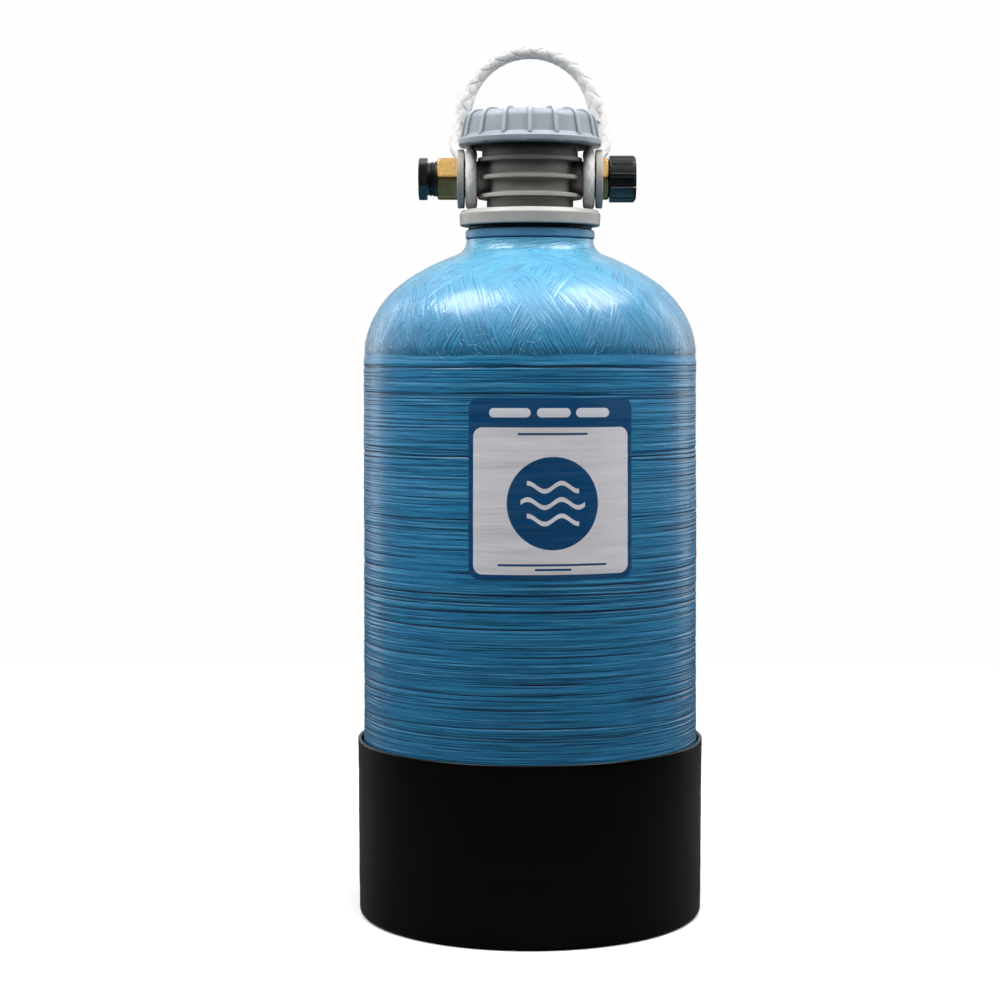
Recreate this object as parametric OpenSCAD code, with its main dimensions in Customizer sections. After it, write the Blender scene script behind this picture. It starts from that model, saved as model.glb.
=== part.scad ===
// Portable in-line water softener tank for a caravan or motorhome.
// Millimetres, +Z up. The origin is the centre of the boot's underside.
// The label faces -Y. The two ports lie on a line along X: inlet +X, outlet -X.

/* [Tank] */

// Outside diameter of the wound tank
tank_od = 229.6; // [226:0.2:232]

// Height where the upper dome starts
dome_base = 380; // [340:1:420]

// Thickness of the fibreglass winding
wrap_wall = 3; // [2.5:0.1:3.4]

// Thickness of the inner liner
liner_wall = 3; // [2.5:0.1:3.5]

/* [Boot] */

// Height of the moulded boot
boot_height = 119; // [100:1:140]

// Wall of the boot
boot_wall = 2.6; // [2:0.1:3]

// Number of webs under the tank
boot_webs = 12; // [6:1:24]

/* [Head] */

// Radius of the head's lower flange
flange_r = 48.9; // [48:0.1:50]

// Radius of the head's drum
drum_r = 30; // [29.5:0.1:31]

// Radius of the cooling-fin shaped ribs round the drum
fin_r = 36.2; // [34:0.1:36.4]

// Radius of the two port discs
disc_r = 20.5; // [19.5:0.1:20.8]

/* [Cap] */

// Radius of the cap's rim
cap_rim_r = 49.5; // [48.5:0.1:50.5]

// Number of ribs round the cap
cap_ribs = 16; // [8:1:24]

// Width of one cap rib
cap_rib_w = 3; // [2:0.2:4]

/* [Ports] */

// Height of the port line above the boot's underside
port_z = 504; // [503:0.1:505]

// Across flats of the two brass hexagons
brass_af = 28; // [26:0.5:30]

// Across flats of the plug's hexagon
plug_af = 26.7; // [25:0.1:28]

// Number of ribs round the swivel nut
nut_ribs = 10; // [6:1:16]

/* [Handle] */

// Radius of a single strand of rope
rope_r = 4; // [3.5:0.1:4.05]

// Radius of the spliced grip
grip_r = 5.6; // [5:0.1:6]

// Distance of the grip behind the tank's axis
grip_y = 38; // [36:0.5:42]

/* [Resin] */

// Height of the top of the resin bed
resin_top = 372; // [330:1:378]

/* [Display] */

// Which piece to build

/* [Hidden] */

$fn = 96;
gap = 0.06;

// Tank shell: two arcs make each dome.
tank_r = tank_od / 2;
dome_h = 80;
knuckle_r = 63;
base_z = 86.2;
knuckle_x = tank_r - knuckle_r;
crown_r = (knuckle_x * knuckle_x + dome_h * dome_h - knuckle_r * knuckle_r) / (2 * (dome_h - knuckle_r));
crown_drop = crown_r - dome_h;
tangent_a = atan2(crown_drop, knuckle_x);
liner_in = wrap_wall + gap + liner_wall;

// Neck
neck_top = 461.5;
neck_out = 44;
neck_hole = 42;
neck_rise = neck_top - (dome_base - crown_drop);
neck_fillet = (neck_out * neck_out + neck_rise * neck_rise - crown_r * crown_r) / (2 * (crown_r - neck_out));
collar_z0 = 462.2;
collar_z1 = 468.3;
collar_r = 44.7;
thread_r = 36;

// Head
flange_z0 = 471.3;
flange_z1 = 482;
collar2_z0 = 519;
cap_z0 = 526.5;
cap_thread_r = 40;
head_top = 543.5;
head_bore = 27;
port_axis = port_z;
boss_r = 13.5;
disc_x0 = 45.5;
disc_x1 = 50;
port_hole = 10.7;
socket_r = 17;
socket_bore = 13.8;

// Riser
riser_r = 13.35;
riser_in = 10.45;
riser_bottom = 22;
riser_top = 496;

// Rope
eye_x = 40.6;
eye_r = 17.8;
arch_r = 47.2;
arch_z = 550;
outer_leg = [[40.6, 15.2, 513.6], [41.2, 25, 514], [47.5, 32, 518], [53.6, 34, 528], [51.5, 36.6, 541],
    [arch_r, grip_y, arch_z + 2]];
inner_leg = [[40.6, 11, 518], [41.5, 27, 517.5], [43, 35.5, 527], [44, 36.6, 541],
    [arch_r, grip_y, arch_z + 2]];

module right_half(size = 700) {
    translate([0, -size / 2])
        square([size, size]);
}

// Points of an arc from angle a to angle b.
function arc(x, y, r, a, b, n) = [for (i = [0 : n]) let (w = a + (b - a) * i / n) [x + r * cos(w), y + r * sin(w)]];

// Points of the upper dome, t below its outer surface, from the side up to the crown angle top_a.
function dome_up(t, top_a) = concat(
    arc(knuckle_x, dome_base, knuckle_r - t, 0, tangent_a, 12),
    arc(0, dome_base - crown_drop, crown_r - t, tangent_a + 1, top_a, 14));

// Points of the lower dome, t below its outer surface, from the axis out to the side.
function dome_down(t) = concat(
    arc(0, base_z + crown_drop, crown_r - t, 270, 361 - tangent_a - 2, 14),
    arc(knuckle_x, base_z, knuckle_r - t, 360 - tangent_a, 360, 12));

function backwards(list) = [for (i = [len(list) - 1 : -1 : 0]) list[i]];

// Angle on the crown where it passes under radius r, t below the surface.
function crown_angle(r, t) = acos(r / (crown_r - t));

module ring(r0, r1, z0, z1) {
    translate([0, 0, z0])
        difference() {
            cylinder(r = r1, h = z1 - z0);
            translate([0, 0, -1])
                cylinder(r = r0, h = z1 - z0 + 2);
        }
}

// A cylinder along X between two x positions, on the port line.
module x_rod(r, x0, x1) {
    translate([min(x0, x1), 0, port_axis])
        rotate([0, 90, 0])
            cylinder(r = r, h = abs(x1 - x0));
}

module x_ring(r0, r1, x0, x1) {
    difference() {
        x_rod(r1, x0, x1);
        x_rod(r0, min(x0, x1) - 1, max(x0, x1) + 1);
    }
}

// A six-sided bar along X. turn is the angle about X.
module x_hex(af, x0, x1, turn) {
    translate([min(x0, x1), 0, port_axis])
        rotate([0, 90, 0])
            rotate([0, 0, turn])
                cylinder(d = af / cos(30), h = abs(x1 - x0), $fn = 6);
}

// A cone frustum along X, r0 at x0 and r1 at x1, with x0 below x1.
module x_cone(r0, r1, x0, x1) {
    translate([x0, 0, port_axis])
        rotate([0, 90, 0])
            cylinder(r1 = r0, r2 = r1, h = x1 - x0);
}

module bar(p, q, r) {
    v = q - p;
    h = norm(v);
    translate(p)
        rotate([0, acos(v[2] / h), atan2(v[1], v[0])])
            cylinder(r = r, h = h);
}

// Moulded boot: a slightly flared skirt, a floor ring and a webbed seat for the lower dome.
module boot() {
    top_r = 118.8;
    foot_r = 117.8;
    seat_r = 73;
    color("#1c1d20")
        difference() {
            union() {
                difference() {
                    union() {
                        translate([0, 0, 3])
                            cylinder(r1 = foot_r, r2 = top_r, h = boot_height - 4);
                        cylinder(r1 = foot_r - 2.2, r2 = foot_r, h = 3);
                        translate([0, 0, boot_height - 1])
                            cylinder(r1 = top_r, r2 = top_r - 0.8, h = 1);
                    }
                    translate([0, 0, 4])
                        cylinder(r1 = foot_r - boot_wall - 2, r2 = top_r - boot_wall, h = 16);
                    translate([0, 0, 20])
                        cylinder(r = top_r - boot_wall, h = boot_height);
                    translate([0, 0, -1])
                        cylinder(r = 40, h = 6);
                }
                ring(seat_r - 3, seat_r + 3, 3, 40);
                for (i = [0 : boot_webs - 1])
                    rotate([0, 0, i * 360 / boot_webs])
                        translate([seat_r, -1.25, 3])
                            cube([foot_r - seat_r - 0.9, 2.5, 62]);
            }
            rotate_extrude(angle = 360)
                polygon(concat(dome_down(-gap * 2), [[tank_r + gap * 2, 200], [0, 200]]));
        }
}

module tank_wrap() {
    t = wrap_wall;
    fillet_x = neck_out + neck_fillet;
    fillet_a = atan2(neck_rise, fillet_x);
    color("#2f78b4")
        rotate_extrude(angle = 360)
            polygon(concat(
                dome_down(0),
                dome_up(0, fillet_a - 0.5),
                arc(fillet_x, neck_top, neck_fillet, fillet_a + 180, 180, 10),
                [[neck_hole, neck_top]],
                backwards(dome_up(t, crown_angle(neck_hole, t))),
                backwards(dome_down(t))));
}

module tank_liner() {
    t = wrap_wall + gap;
    color("#dfe3e6")
        rotate_extrude(angle = 360)
            polygon(concat(
                dome_down(t),
                dome_up(t, crown_angle(neck_hole - gap, t)),
                [[neck_hole - gap, neck_top], [neck_hole - 2.9, neck_top]],
                backwards(dome_up(liner_in, crown_angle(neck_hole - 2.9, liner_in))),
                backwards(dome_down(liner_in))));
}

// Threaded insert in the tank's neck, with the blue collar that shows above the winding.
module neck_fitting() {
    color("#5b93bb")
        difference() {
            union() {
                ring(thread_r + 0.3, 39, 441, collar_z1);
                ring(38, collar_r - 0.8, collar_z0, collar_z1);
                ring(38, collar_r, collar_z0, collar_z1 - 0.8);
                translate([0, 0, collar_z1 - 0.8])
                    cylinder(r1 = collar_r, r2 = collar_r - 0.8, h = 0.8);
                ring(38, 45.5, 441, 445.9);
            }
            translate([0, 0, 400])
                cylinder(r = thread_r + 0.3, h = 100);
        }
}

module neck_oring() {
    color("#16171a")
        translate([0, 0, (collar_z1 + flange_z0) / 2])
            rotate_extrude(angle = 360)
                translate([41.4, 0])
                    circle(d = flange_z0 - collar_z1 - 0.1, $fn = 48);
}

// One moulded head: lower thread, flange, drum with three fins, two bosses with discs, upper thread.
module head_body() {
    color("#868889")
        difference() {
            union() {
                translate([0, 0, 446])
                    cylinder(r1 = thread_r - 1.6, r2 = thread_r, h = 2);
                translate([0, 0, 448])
                    cylinder(r = thread_r, h = flange_z0 - 447);
                ring(25, flange_r, flange_z0, flange_z1 - 1.6);
                translate([0, 0, flange_z1 - 1.6])
                    cylinder(r1 = flange_r, r2 = flange_r - 1.6, h = 1.6);
                translate([0, 0, flange_z1 - 4])
                    cylinder(r = drum_r, h = collar2_z0 - flange_z1 + 8);
                for (z = [490, 502.6, 515.2])
                    ring(20, fin_r, z, z + 3.1);
                ring(20, 33.2, collar2_z0, cap_z0 + 0.5);
                translate([0, 0, cap_z0])
                    cylinder(r = cap_thread_r - 1.4, h = head_top - cap_z0);
                for (k = [0 : 3])
                    translate([0, 0, cap_z0 + 3 + k * 3.6])
                        cylinder(r1 = cap_thread_r, r2 = cap_thread_r - 1.2, h = 1.4);
                for (s = [-1, 1])
                    port_boss(s);
            }
            // Vertical waterway round the riser socket
            difference() {
                translate([0, 0, 440])
                    cylinder(r = head_bore, h = 120);
                translate([0, 0, 488])
                    cylinder(r = socket_r, h = 31);
                translate([-30, -14.2, 490])
                    cube([30, 28.4, 28]);
            }
            // Socket for the riser tube and the passage to the outlet port
            translate([0, 0, 480])
                cylinder(r = socket_bore, h = 21.5);
            translate([0, 0, 500])
                cylinder(r = riser_in, h = 15);
            x_rod(riser_in, -40, 0);
            x_rod(port_hole, -52, -34);
            x_rod(port_hole, 24, 52);
            translate([0, 0, 491])
                riser_groove();
        }
}

module riser_groove() {
    rotate_extrude(angle = 360)
        translate([socket_bore, 0])
            circle(r = 1.05, $fn = 32);
}

module port_boss(s) {
    translate([0, 0, port_axis])
        rotate([0, s * 90, 0]) {
            translate([0, 0, 22])
                cylinder(r = boss_r, h = disc_x1 - 22.5);
            translate([0, 0, disc_x0])
                cylinder(r = disc_r, h = disc_x1 - disc_x0 - 1.2);
            translate([0, 0, disc_x1 - 1.2])
                cylinder(r1 = disc_r, r2 = disc_r - 1.2, h = 1.2);
        }
}

module cap() {
    z1 = 551.5;
    wall_z = 532.6;
    color("#a3b0bf")
        difference() {
            union() {
                translate([0, 0, cap_z0])
                    cylinder(r1 = cap_rim_r - 0.6, r2 = cap_rim_r, h = 0.6);
                translate([0, 0, cap_z0 + 0.6])
                    cylinder(r = cap_rim_r, h = 3.6);
                translate([0, 0, cap_z0 + 4.2])
                    cylinder(r1 = cap_rim_r, r2 = 46.6, h = wall_z - cap_z0 - 4.2);
                rotate_extrude(angle = 360)
                    intersection() {
                        cap_outline(46, 43, 549.4);
                        right_half(1200);
                    }
                for (i = [0 : cap_ribs - 1])
                    rotate([0, 0, 90 + i * 360 / cap_ribs])
                        cap_rib(z1);
            }
            translate([0, 0, 500])
                cylinder(r = cap_thread_r + 0.35, h = 545.7 - 500);
        }
}

// Half outline of the cap's wall: a leaning side and a round shoulder.
module cap_outline(r_low, r_high, top) {
    s = 6.5;
    difference() {
        union() {
            polygon([[0, 531], [r_low + 0.3, 531], [r_high, top - s], [0, top - s]]);
            translate([0, top - s - 0.01])
                square([r_high - s, s + 0.01]);
            translate([r_high - s, top - s])
                circle(r = s, $fn = 96);
        }
        translate([-100, 500])
            square([100, 100]);
    }
}

module cap_rib(top) {
    intersection() {
        rotate_extrude(angle = 360)
            intersection() {
                cap_outline(48, 45, top);
                right_half(1200);
            }
        translate([31, -cap_rib_w / 2, 530])
            cube([26, cap_rib_w, 40]);
    }
}

module cap_oring() {
    color("#16171a")
        translate([0, 0, head_top + 1.1])
            rotate_extrude(angle = 360)
                translate([36.5, 0])
                    circle(r = 1.04, $fn = 32);
}

module inlet_adapter() {
    color("#c9a04f")
        difference() {
            union() {
                x_rod(port_hole - gap, 34, disc_x1 - 0.1);
                intersection() {
                    x_hex(brass_af, disc_x1 + gap, 54.7, 30);
                    x_cone(brass_af / 2 + 3.4, brass_af / 2 + 0.6, disc_x1, 54.8);
                }
                x_rod(10.2, disc_x1 - 0.5, 61.4);
                x_rod(11.9, 58.7, 61.4);
            }
            x_rod(7.6, 30, 70);
        }
}

module inlet_nut() {
    body_r = 15.5;
    color("#1d1e21")
        difference() {
            union() {
                x_rod(body_r, 54.8, 71.6);
                x_cone(body_r, body_r - 1.6, 71.6, 73.2);
                x_rod(16.25, 54.8, 55.6);
                intersection() {
                    union() {
                        x_rod(16.25, 54.8, 71.4);
                        x_cone(16.25, 14.4, 71.4, 73.2);
                    }
                    for (i = [0 : nut_ribs - 1])
                        translate([0, 0, port_axis])
                            rotate([-5 - i * 360 / nut_ribs, 0, 0])
                                translate([50, -30, -1.5])
                                    cube([30, 30, 3]);
                }
            }
            x_rod(10.5, 50, 60);
            x_rod(12.9, 58.6, 64.3);
            x_rod(13.6, 64.3, 80);
        }
}

module hose_washer() {
    color("#2a2a2c")
        x_ring(8, 12.8, 61.5, 64.2);
}

module outlet_adapter() {
    color("#c9a04f")
        difference() {
            union() {
                x_rod(port_hole - gap, -34, -disc_x1 + 0.1);
                intersection() {
                    x_hex(brass_af, -disc_x1 - gap, -64.4, 30);
                    union() {
                        x_rod(brass_af, -62.6, -40);
                        x_cone(brass_af / 2 - 1.6, brass_af / 2 + 2.4, -64.4, -62.6);
                    }
                }
                x_rod(10.2, -disc_x1 + 0.5, -disc_x1 - 1);
            }
            x_rod(7.6, -30, -70);
            x_rod(11.4, -52, -70);
        }
}

module outlet_plug() {
    color("#1d1e21")
        union() {
            intersection() {
                x_hex(plug_af, -76.9, -71, -9.7);
                union() {
                    x_rod(plug_af, -76.3, -70);
                    x_cone(plug_af / 2 + 1, plug_af / 2 + 2.2, -76.9, -76.3);
                }
            }
            x_rod(11.4 - gap * 2, -54.8, -71.2);
            x_rod(11.7, -66, -71.2);
            x_cone(12.15, 11.5, -66.5, -65.7);
            x_cone(11.5, 12.15, -67.3, -66.5);
            x_cone(12.15, 11.5, -68.7, -67.9);
            x_cone(11.5, 12.15, -69.5, -68.7);
        }
}

module plug_washer() {
    color("#16171a")
        x_ring(11.36, 12.1, -64.5, -65.6);
}

module riser_tube() {
    color("#e9e9e4")
        ring(riser_in, riser_r, riser_bottom, riser_top);
}

module riser_oring() {
    color("#16171a")
        translate([0, 0, 491])
            rotate_extrude(angle = 360)
                translate([socket_bore + 0.3, 0])
                    circle(r = 0.69, $fn = 32);
}

// Slotted basket round the foot of the riser.
module lower_basket() {
    slots = 20;
    z0 = 14.5;
    z1 = 76;
    color("#dcdcd6")
        difference() {
            union() {
                ring(20, 22, z0, z1);
                translate([0, 0, z0])
                    cylinder(r = 22, h = 2.5);
                ring(riser_r + gap, 22, z1 - 3, z1);
                ring(riser_r + gap, riser_r + 2.4, z1 - 16, z1);
            }
            for (k = [0 : 3])
                for (i = [0 : slots - 1])
                    rotate([0, 0, i * 360 / slots + k * 9])
                        translate([18, -0.6, z0 + 6 + k * 13])
                            cube([6, 1.2, 9]);
        }
}

module resin_bed() {
    t = liner_in + gap;
    color("#b07a35")
        difference() {
            rotate_extrude(angle = 360)
                polygon(concat(dome_down(t), [[tank_r - t, resin_top], [0, resin_top]]));
            translate([0, 0, 10])
                cylinder(r = 22 + gap * 2, h = 76 - 10 + gap);
            cylinder(r = riser_r + gap, h = 500);
        }
}

// Rope with an eye round each boss, two strands up each side and a thick spliced grip.
module rope_handle() {
    color("#e8e8e4")
        union() {
            for (s = [-1, 1]) {
                translate([s * eye_x, 0, port_axis])
                    rotate([0, 90, 0])
                        rotate_extrude(angle = 360)
                            translate([eye_r, 0])
                                circle(r = rope_r);
                strand([for (p = outer_leg) [s * p[0], p[1], p[2]]]);
                strand([for (p = inner_leg) [s * p[0], p[1], p[2]]]);
            }
            translate([0, grip_y, arch_z])
                rotate([90, 0, 0])
                    rotate_extrude(angle = 180)
                        translate([arch_r, 0])
                            circle(r = grip_r);
            for (s = [-1, 1])
                translate([s * arch_r, grip_y, arch_z])
                    sphere(r = grip_r + 0.08);
        }
}

module strand(points) {
    for (i = [1 : len(points) - 1])
        bar(points[i - 1], points[i], rope_r);
    for (i = [0 : len(points) - 1])
        translate(points[i])
            sphere(r = rope_r + 0.08);
}

// Thin printed label wrapped on the winding, centred a little to the right of the front.
module label() {
    z0 = 237.7;
    z1 = 354.4;
    half_w = 53.2;
    c = 6.4;
    color("#c3cad3")
        rotate([0, 0, 7.45])
            intersection() {
                difference() {
                    translate([0, 0, z0 - 1])
                        cylinder(r = tank_r + 0.3, h = z1 - z0 + 2, $fn = 180);
                    translate([0, 0, z0 - 2])
                        cylinder(r = tank_r + 0.05, h = z1 - z0 + 4, $fn = 180);
                }
                translate([0, -60, z0])
                    rotate([90, 0, 0])
                        linear_extrude(height = 80) {
                            translate([-half_w + c, 0])
                                square([2 * half_w - 2 * c, z1 - z0]);
                            translate([-half_w, c])
                                square([2 * half_w, z1 - z0 - 2 * c]);
                            for (sx = [-1, 1], y = [c, z1 - z0 - c])
                                translate([sx * (half_w - c), y])
                                    circle(r = c, $fn = 48);
                        }
            }
}

boot();
tank_liner();
tank_wrap();
neck_fitting();
neck_oring();
head_body();
cap();
cap_oring();
inlet_adapter();
inlet_nut();
hose_washer();
outlet_adapter();
outlet_plug();
plug_washer();
riser_tube();
riser_oring();
lower_basket();
resin_bed();
rope_handle();
label();
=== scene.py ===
"""Looks for a portable in-line water softener tank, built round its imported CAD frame."""

import math

import bpy
import numpy as np
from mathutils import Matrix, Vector


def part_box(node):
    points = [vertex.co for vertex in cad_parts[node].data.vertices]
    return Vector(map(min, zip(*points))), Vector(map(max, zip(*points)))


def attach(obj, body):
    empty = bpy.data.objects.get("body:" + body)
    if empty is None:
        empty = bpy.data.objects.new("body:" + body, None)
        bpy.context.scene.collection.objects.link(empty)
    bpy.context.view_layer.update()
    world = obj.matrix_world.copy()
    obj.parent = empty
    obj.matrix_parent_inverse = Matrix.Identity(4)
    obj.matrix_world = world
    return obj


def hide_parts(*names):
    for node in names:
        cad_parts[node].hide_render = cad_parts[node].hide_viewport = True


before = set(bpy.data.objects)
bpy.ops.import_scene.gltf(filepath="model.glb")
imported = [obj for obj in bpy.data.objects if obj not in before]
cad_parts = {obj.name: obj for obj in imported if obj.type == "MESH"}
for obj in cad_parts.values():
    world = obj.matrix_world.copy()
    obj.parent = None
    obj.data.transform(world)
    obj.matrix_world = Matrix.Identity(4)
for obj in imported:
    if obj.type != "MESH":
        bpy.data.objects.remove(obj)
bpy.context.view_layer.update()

MM = 0.001
TAU = 2 * math.pi


def span(node):
    """A CAD node's lowest and highest corners, in millimetres."""
    low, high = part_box(node)
    return np.array(low) / MM, np.array(high) / MM


# Driving sizes, in millimetres, all read from the frame.
BOOT_HIGH = span("boot")[1]
WRAP_LOW, WRAP_HIGH = span("tank_wrap")
NECK_LOW, NECK_HIGH = span("neck_fitting")
HEAD_LOW, HEAD_HIGH = span("head_body")
CAP_LOW, CAP_HIGH = span("cap")
LABEL_LOW, LABEL_HIGH = span("label")
OUTLET_LOW, OUTLET_HIGH = span("outlet_adapter")
PLUG_LOW, PLUG_HIGH = span("outlet_plug")
INLET_LOW, INLET_HIGH = span("inlet_adapter")
NUT_LOW, NUT_HIGH = span("inlet_nut")
ROPE_TOP = span("rope_handle")[1][2]
PORT_Z = (NUT_LOW[2] + NUT_HIGH[2]) / 2
TANK_R = WRAP_HIGH[0]


# ---------------------------------------------------------------- shapes


def smooth(t):
    """Rises from 0 to 1 with flat ends as t goes from 0 to 1."""
    t = np.clip(t, 0, 1)
    return t * t * (3 - 2 * t)


def soft_min(a, b, blend):
    """The smaller of a and b, rounded over a width of blend where they meet."""
    h = np.clip(0.5 + 0.5 * (b - a) / blend, 0, 1)
    return b * (1 - h) + a * h - blend * h * (1 - h)


def rounded(corners, closed=False, steps=6):
    """An outline through corners, each given as (a, b, fillet radius)."""
    count = len(corners)
    outline = []
    for i, (a, b, radius) in enumerate(corners):
        here = np.array([a, b], float)
        if radius == 0 or (not closed and i in (0, count - 1)):
            outline.append(here)
            continue
        before = np.array(corners[i - 1][:2], float) - here
        after = np.array(corners[(i + 1) % count][:2], float) - here
        room = 0.48 * min(np.linalg.norm(before), np.linalg.norm(after))
        before /= np.linalg.norm(before)
        after /= np.linalg.norm(after)
        half = math.acos(float(np.clip(before @ after, -1, 1))) / 2
        if half > math.pi / 2 - 0.01:
            outline.append(here)
            continue
        tangent = min(radius / math.tan(half), room)
        radius = tangent * math.tan(half)
        bisector = (before + after) / np.linalg.norm(before + after)
        centre = here + bisector * radius / math.sin(half)
        start = here + before * tangent - centre
        end = here + after * tangent - centre
        turn = math.acos(float(np.clip(start @ end / radius**2, -1, 1)))
        for k in range(steps + 1):
            w = k / steps
            mix = (math.sin((1 - w) * turn) * start + math.sin(w * turn) * end) / math.sin(turn)
            outline.append(centre + mix)
    return np.array(outline)


def densified(outline, step, closed=False):
    """The outline with its long segments split into pieces no longer than step."""
    ends = np.roll(outline, -1, 0) if closed else outline[1:]
    parts = []
    for a, b in zip(outline, ends):
        count = max(1, math.ceil(np.linalg.norm(b - a) / step))
        parts.append(a + (b - a) * (np.arange(count) / count)[:, None])
    if not closed:
        parts.append(outline[-1:])
    return np.concatenate(parts)


def lengths_along(path):
    """How far each point lies from the path's start, measured along it."""
    return np.concatenate([[0], np.cumsum(np.linalg.norm(np.diff(path, axis=0), axis=1))])


def unit(vectors):
    """The rows of an array, each scaled to length 1."""
    return vectors / np.linalg.norm(vectors, axis=1, keepdims=True)


def evenly(path, step):
    """The same path with points a step apart."""
    lengths = lengths_along(path)
    at = np.linspace(0, lengths[-1], max(2, round(lengths[-1] / step) + 1))
    return np.stack([np.interp(at, lengths, path[:, k]) for k in range(path.shape[1])], 1)


def outward(outline):
    """Unit normals of an outline that runs upwards with its outside to the right."""
    along = unit(np.gradient(outline, axis=0))
    return np.stack([along[:, 1], -along[:, 0]], 1)


def arc_points(a, b, radius, start, end, count):
    """Points on an arc about (a, b), with angles in degrees."""
    w = np.radians(np.linspace(start, end, count))
    return np.stack([a + radius * np.cos(w), b + radius * np.sin(w)], 1)


def around_z(radius, height, angle):
    """Points round the tank's axis, angle 0 at the front and 90 degrees towards +X."""
    radius, height, angle = np.broadcast_arrays(radius, height, angle)
    return np.stack([radius * np.sin(angle), -radius * np.cos(angle), height], -1)


def lathe(outline, angle, rise=0.0):
    """An outline of (radius, height) points, raised outwards by rise, swept round the tank's axis."""
    return around_z(outline[:, :1] + rise, outline[:, 1:], angle)


def around_x(radius, along, angle):
    """Points round the port line, angle 0 at the front and 90 degrees upwards."""
    radius, along, angle = np.broadcast_arrays(radius, along, angle)
    return np.stack([along, -radius * np.cos(angle), PORT_Z + radius * np.sin(angle)], -1)


def turns(count):
    return np.arange(count) * TAU / count


def periodic_weights(at, cells):
    """Cubic spline weights of a closed row of cells, at positions from 0 to 1."""
    weights = np.zeros((len(at), cells))
    place = (np.asarray(at) % 1) * cells
    base = np.floor(place).astype(int)
    f = place - base
    curve = [(1 - f) ** 3 / 6, (3 * f**3 - 6 * f**2 + 4) / 6,
             (-3 * f**3 + 3 * f**2 + 3 * f + 1) / 6, f**3 / 6]
    for k, c in enumerate(curve):
        weights[np.arange(len(at)), (base + k - 1) % cells] += c
    return weights


def drift(rng, rows, columns, row_cells, column_cells):
    """Smooth random field over a grid, closed in columns, of about -1 to 1.

    rows and columns are positions from 0 to 1, and the cells set how fast the field changes.
    """
    cells = rng.uniform(-1, 1, (row_cells + 4, column_cells))
    along = periodic_weights(np.asarray(rows) * row_cells / (row_cells + 4), row_cells + 4)
    return along @ cells @ periodic_weights(columns, column_cells).T * 2.2


def thread_wave(along, angle, pitch):
    """Rounded thread section from 0 at the root to 1 at the crest of a right-hand screw."""
    phase = (along / pitch - angle / TAU) % 1
    return smooth((0.5 - np.abs(phase - 0.5) - 0.12) / 0.26)


class Shell:
    """Points and faces gathered for one piece, in millimetres."""

    def __init__(self):
        self.points = []
        self.faces = []
        self.count = 0

    def add(self, points, faces):
        """Adds points and lists of faces, turned so that the surface faces outwards."""
        points = np.asarray(points, float).reshape(-1, 3)
        volume = 0
        centre = points.mean(0)
        for f in faces:
            p = points[f] - centre
            for k in range(1, f.shape[1] - 1):
                volume += np.einsum("ij,ij->i", p[:, 0], np.cross(p[:, k], p[:, k + 1])).sum()
        if volume < 0:
            faces = [f[:, ::-1] for f in faces]
        self.points.append(points)
        self.faces += [f + self.count for f in faces]
        self.count += len(points)

    def ring(self, grid, closed_rows=False, caps=True):
        """A grid of rows by columns closed in columns. Open rows end in flat or pointed caps."""
        rows, columns = grid.shape[:2]
        index = np.arange(rows * columns).reshape(rows, columns)
        points = grid.reshape(-1, 3)
        nearer = index if closed_rows else index[:-1]
        further = np.roll(index, -1, 0) if closed_rows else index[1:]
        quads = [nearer, np.roll(nearer, -1, 1), np.roll(further, -1, 1), further]
        faces = [np.stack(quads, -1).reshape(-1, 4)]
        if caps and not closed_rows:
            middle = np.array([grid[0].mean(0), grid[-1].mean(0)])
            points = np.concatenate([points, middle])
            first = np.full(columns, rows * columns)
            faces.append(np.stack([np.roll(index[0], -1), index[0], first], -1))
            faces.append(np.stack([index[-1], np.roll(index[-1], -1), first + 1], -1))
        self.add(points, faces)

    def slab(self, outer, inner):
        """A thin sheet between two open grids of the same shape."""
        rows, columns = outer.shape[:2]
        index = np.arange(rows * columns).reshape(rows, columns)
        sheet = [index[:-1, :-1], index[:-1, 1:], index[1:, 1:], index[1:, :-1]]
        sheet = np.stack(sheet, -1).reshape(-1, 4)
        edge = np.concatenate([index[0, :-1], index[:-1, -1], index[-1, :0:-1], index[:0:-1, 0]])
        after = np.roll(edge, -1)
        offset = rows * columns
        faces = [sheet, sheet[:, ::-1] + offset, np.stack([after, edge, edge + offset, after + offset], -1)]
        self.add(np.concatenate([outer.reshape(-1, 3), inner.reshape(-1, 3)]), faces)

    def solid(self, name, look, sharp=35, fields=None):
        """Makes the object, smooth except at edges sharper than an angle in degrees.

        look is a material, and fields holds a value per point for each name.
        """
        mesh = bpy.data.meshes.new(name)
        points = np.concatenate(self.points)
        corners = np.concatenate([f.ravel() for f in self.faces])
        sizes = np.concatenate([np.full(len(f), f.shape[1]) for f in self.faces])
        starts = np.concatenate([[0], np.cumsum(sizes)[:-1]])
        mesh.vertices.add(len(points))
        mesh.vertices.foreach_set("co", (points * MM).astype(np.float32).ravel())
        mesh.loops.add(len(corners))
        mesh.loops.foreach_set("vertex_index", corners.astype(np.int32))
        mesh.polygons.add(len(sizes))
        mesh.polygons.foreach_set("loop_start", starts.astype(np.int32))
        mesh.update(calc_edges=True)
        for field, values in (fields or {}).items():
            attribute = mesh.attributes.new(field, "FLOAT", "POINT")
            attribute.data.foreach_set("value", np.asarray(values, np.float32).ravel())
        mesh.validate()
        mesh.shade_smooth()
        mesh.set_sharp_from_angle(angle=math.radians(sharp))
        piece = bpy.data.objects.new(name, mesh)
        bpy.context.scene.collection.objects.link(piece)
        mesh.materials.append(look)
        return piece

    def piece(self, name, body, nodes, look, sharp=35, fields=None):
        """Makes an object that rides on a body and shows in place of some CAD nodes."""
        piece = self.solid(name, look, sharp, fields)
        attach(piece, body)
        if nodes:
            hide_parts(*nodes)


# ---------------------------------------------------------------- materials


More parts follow.
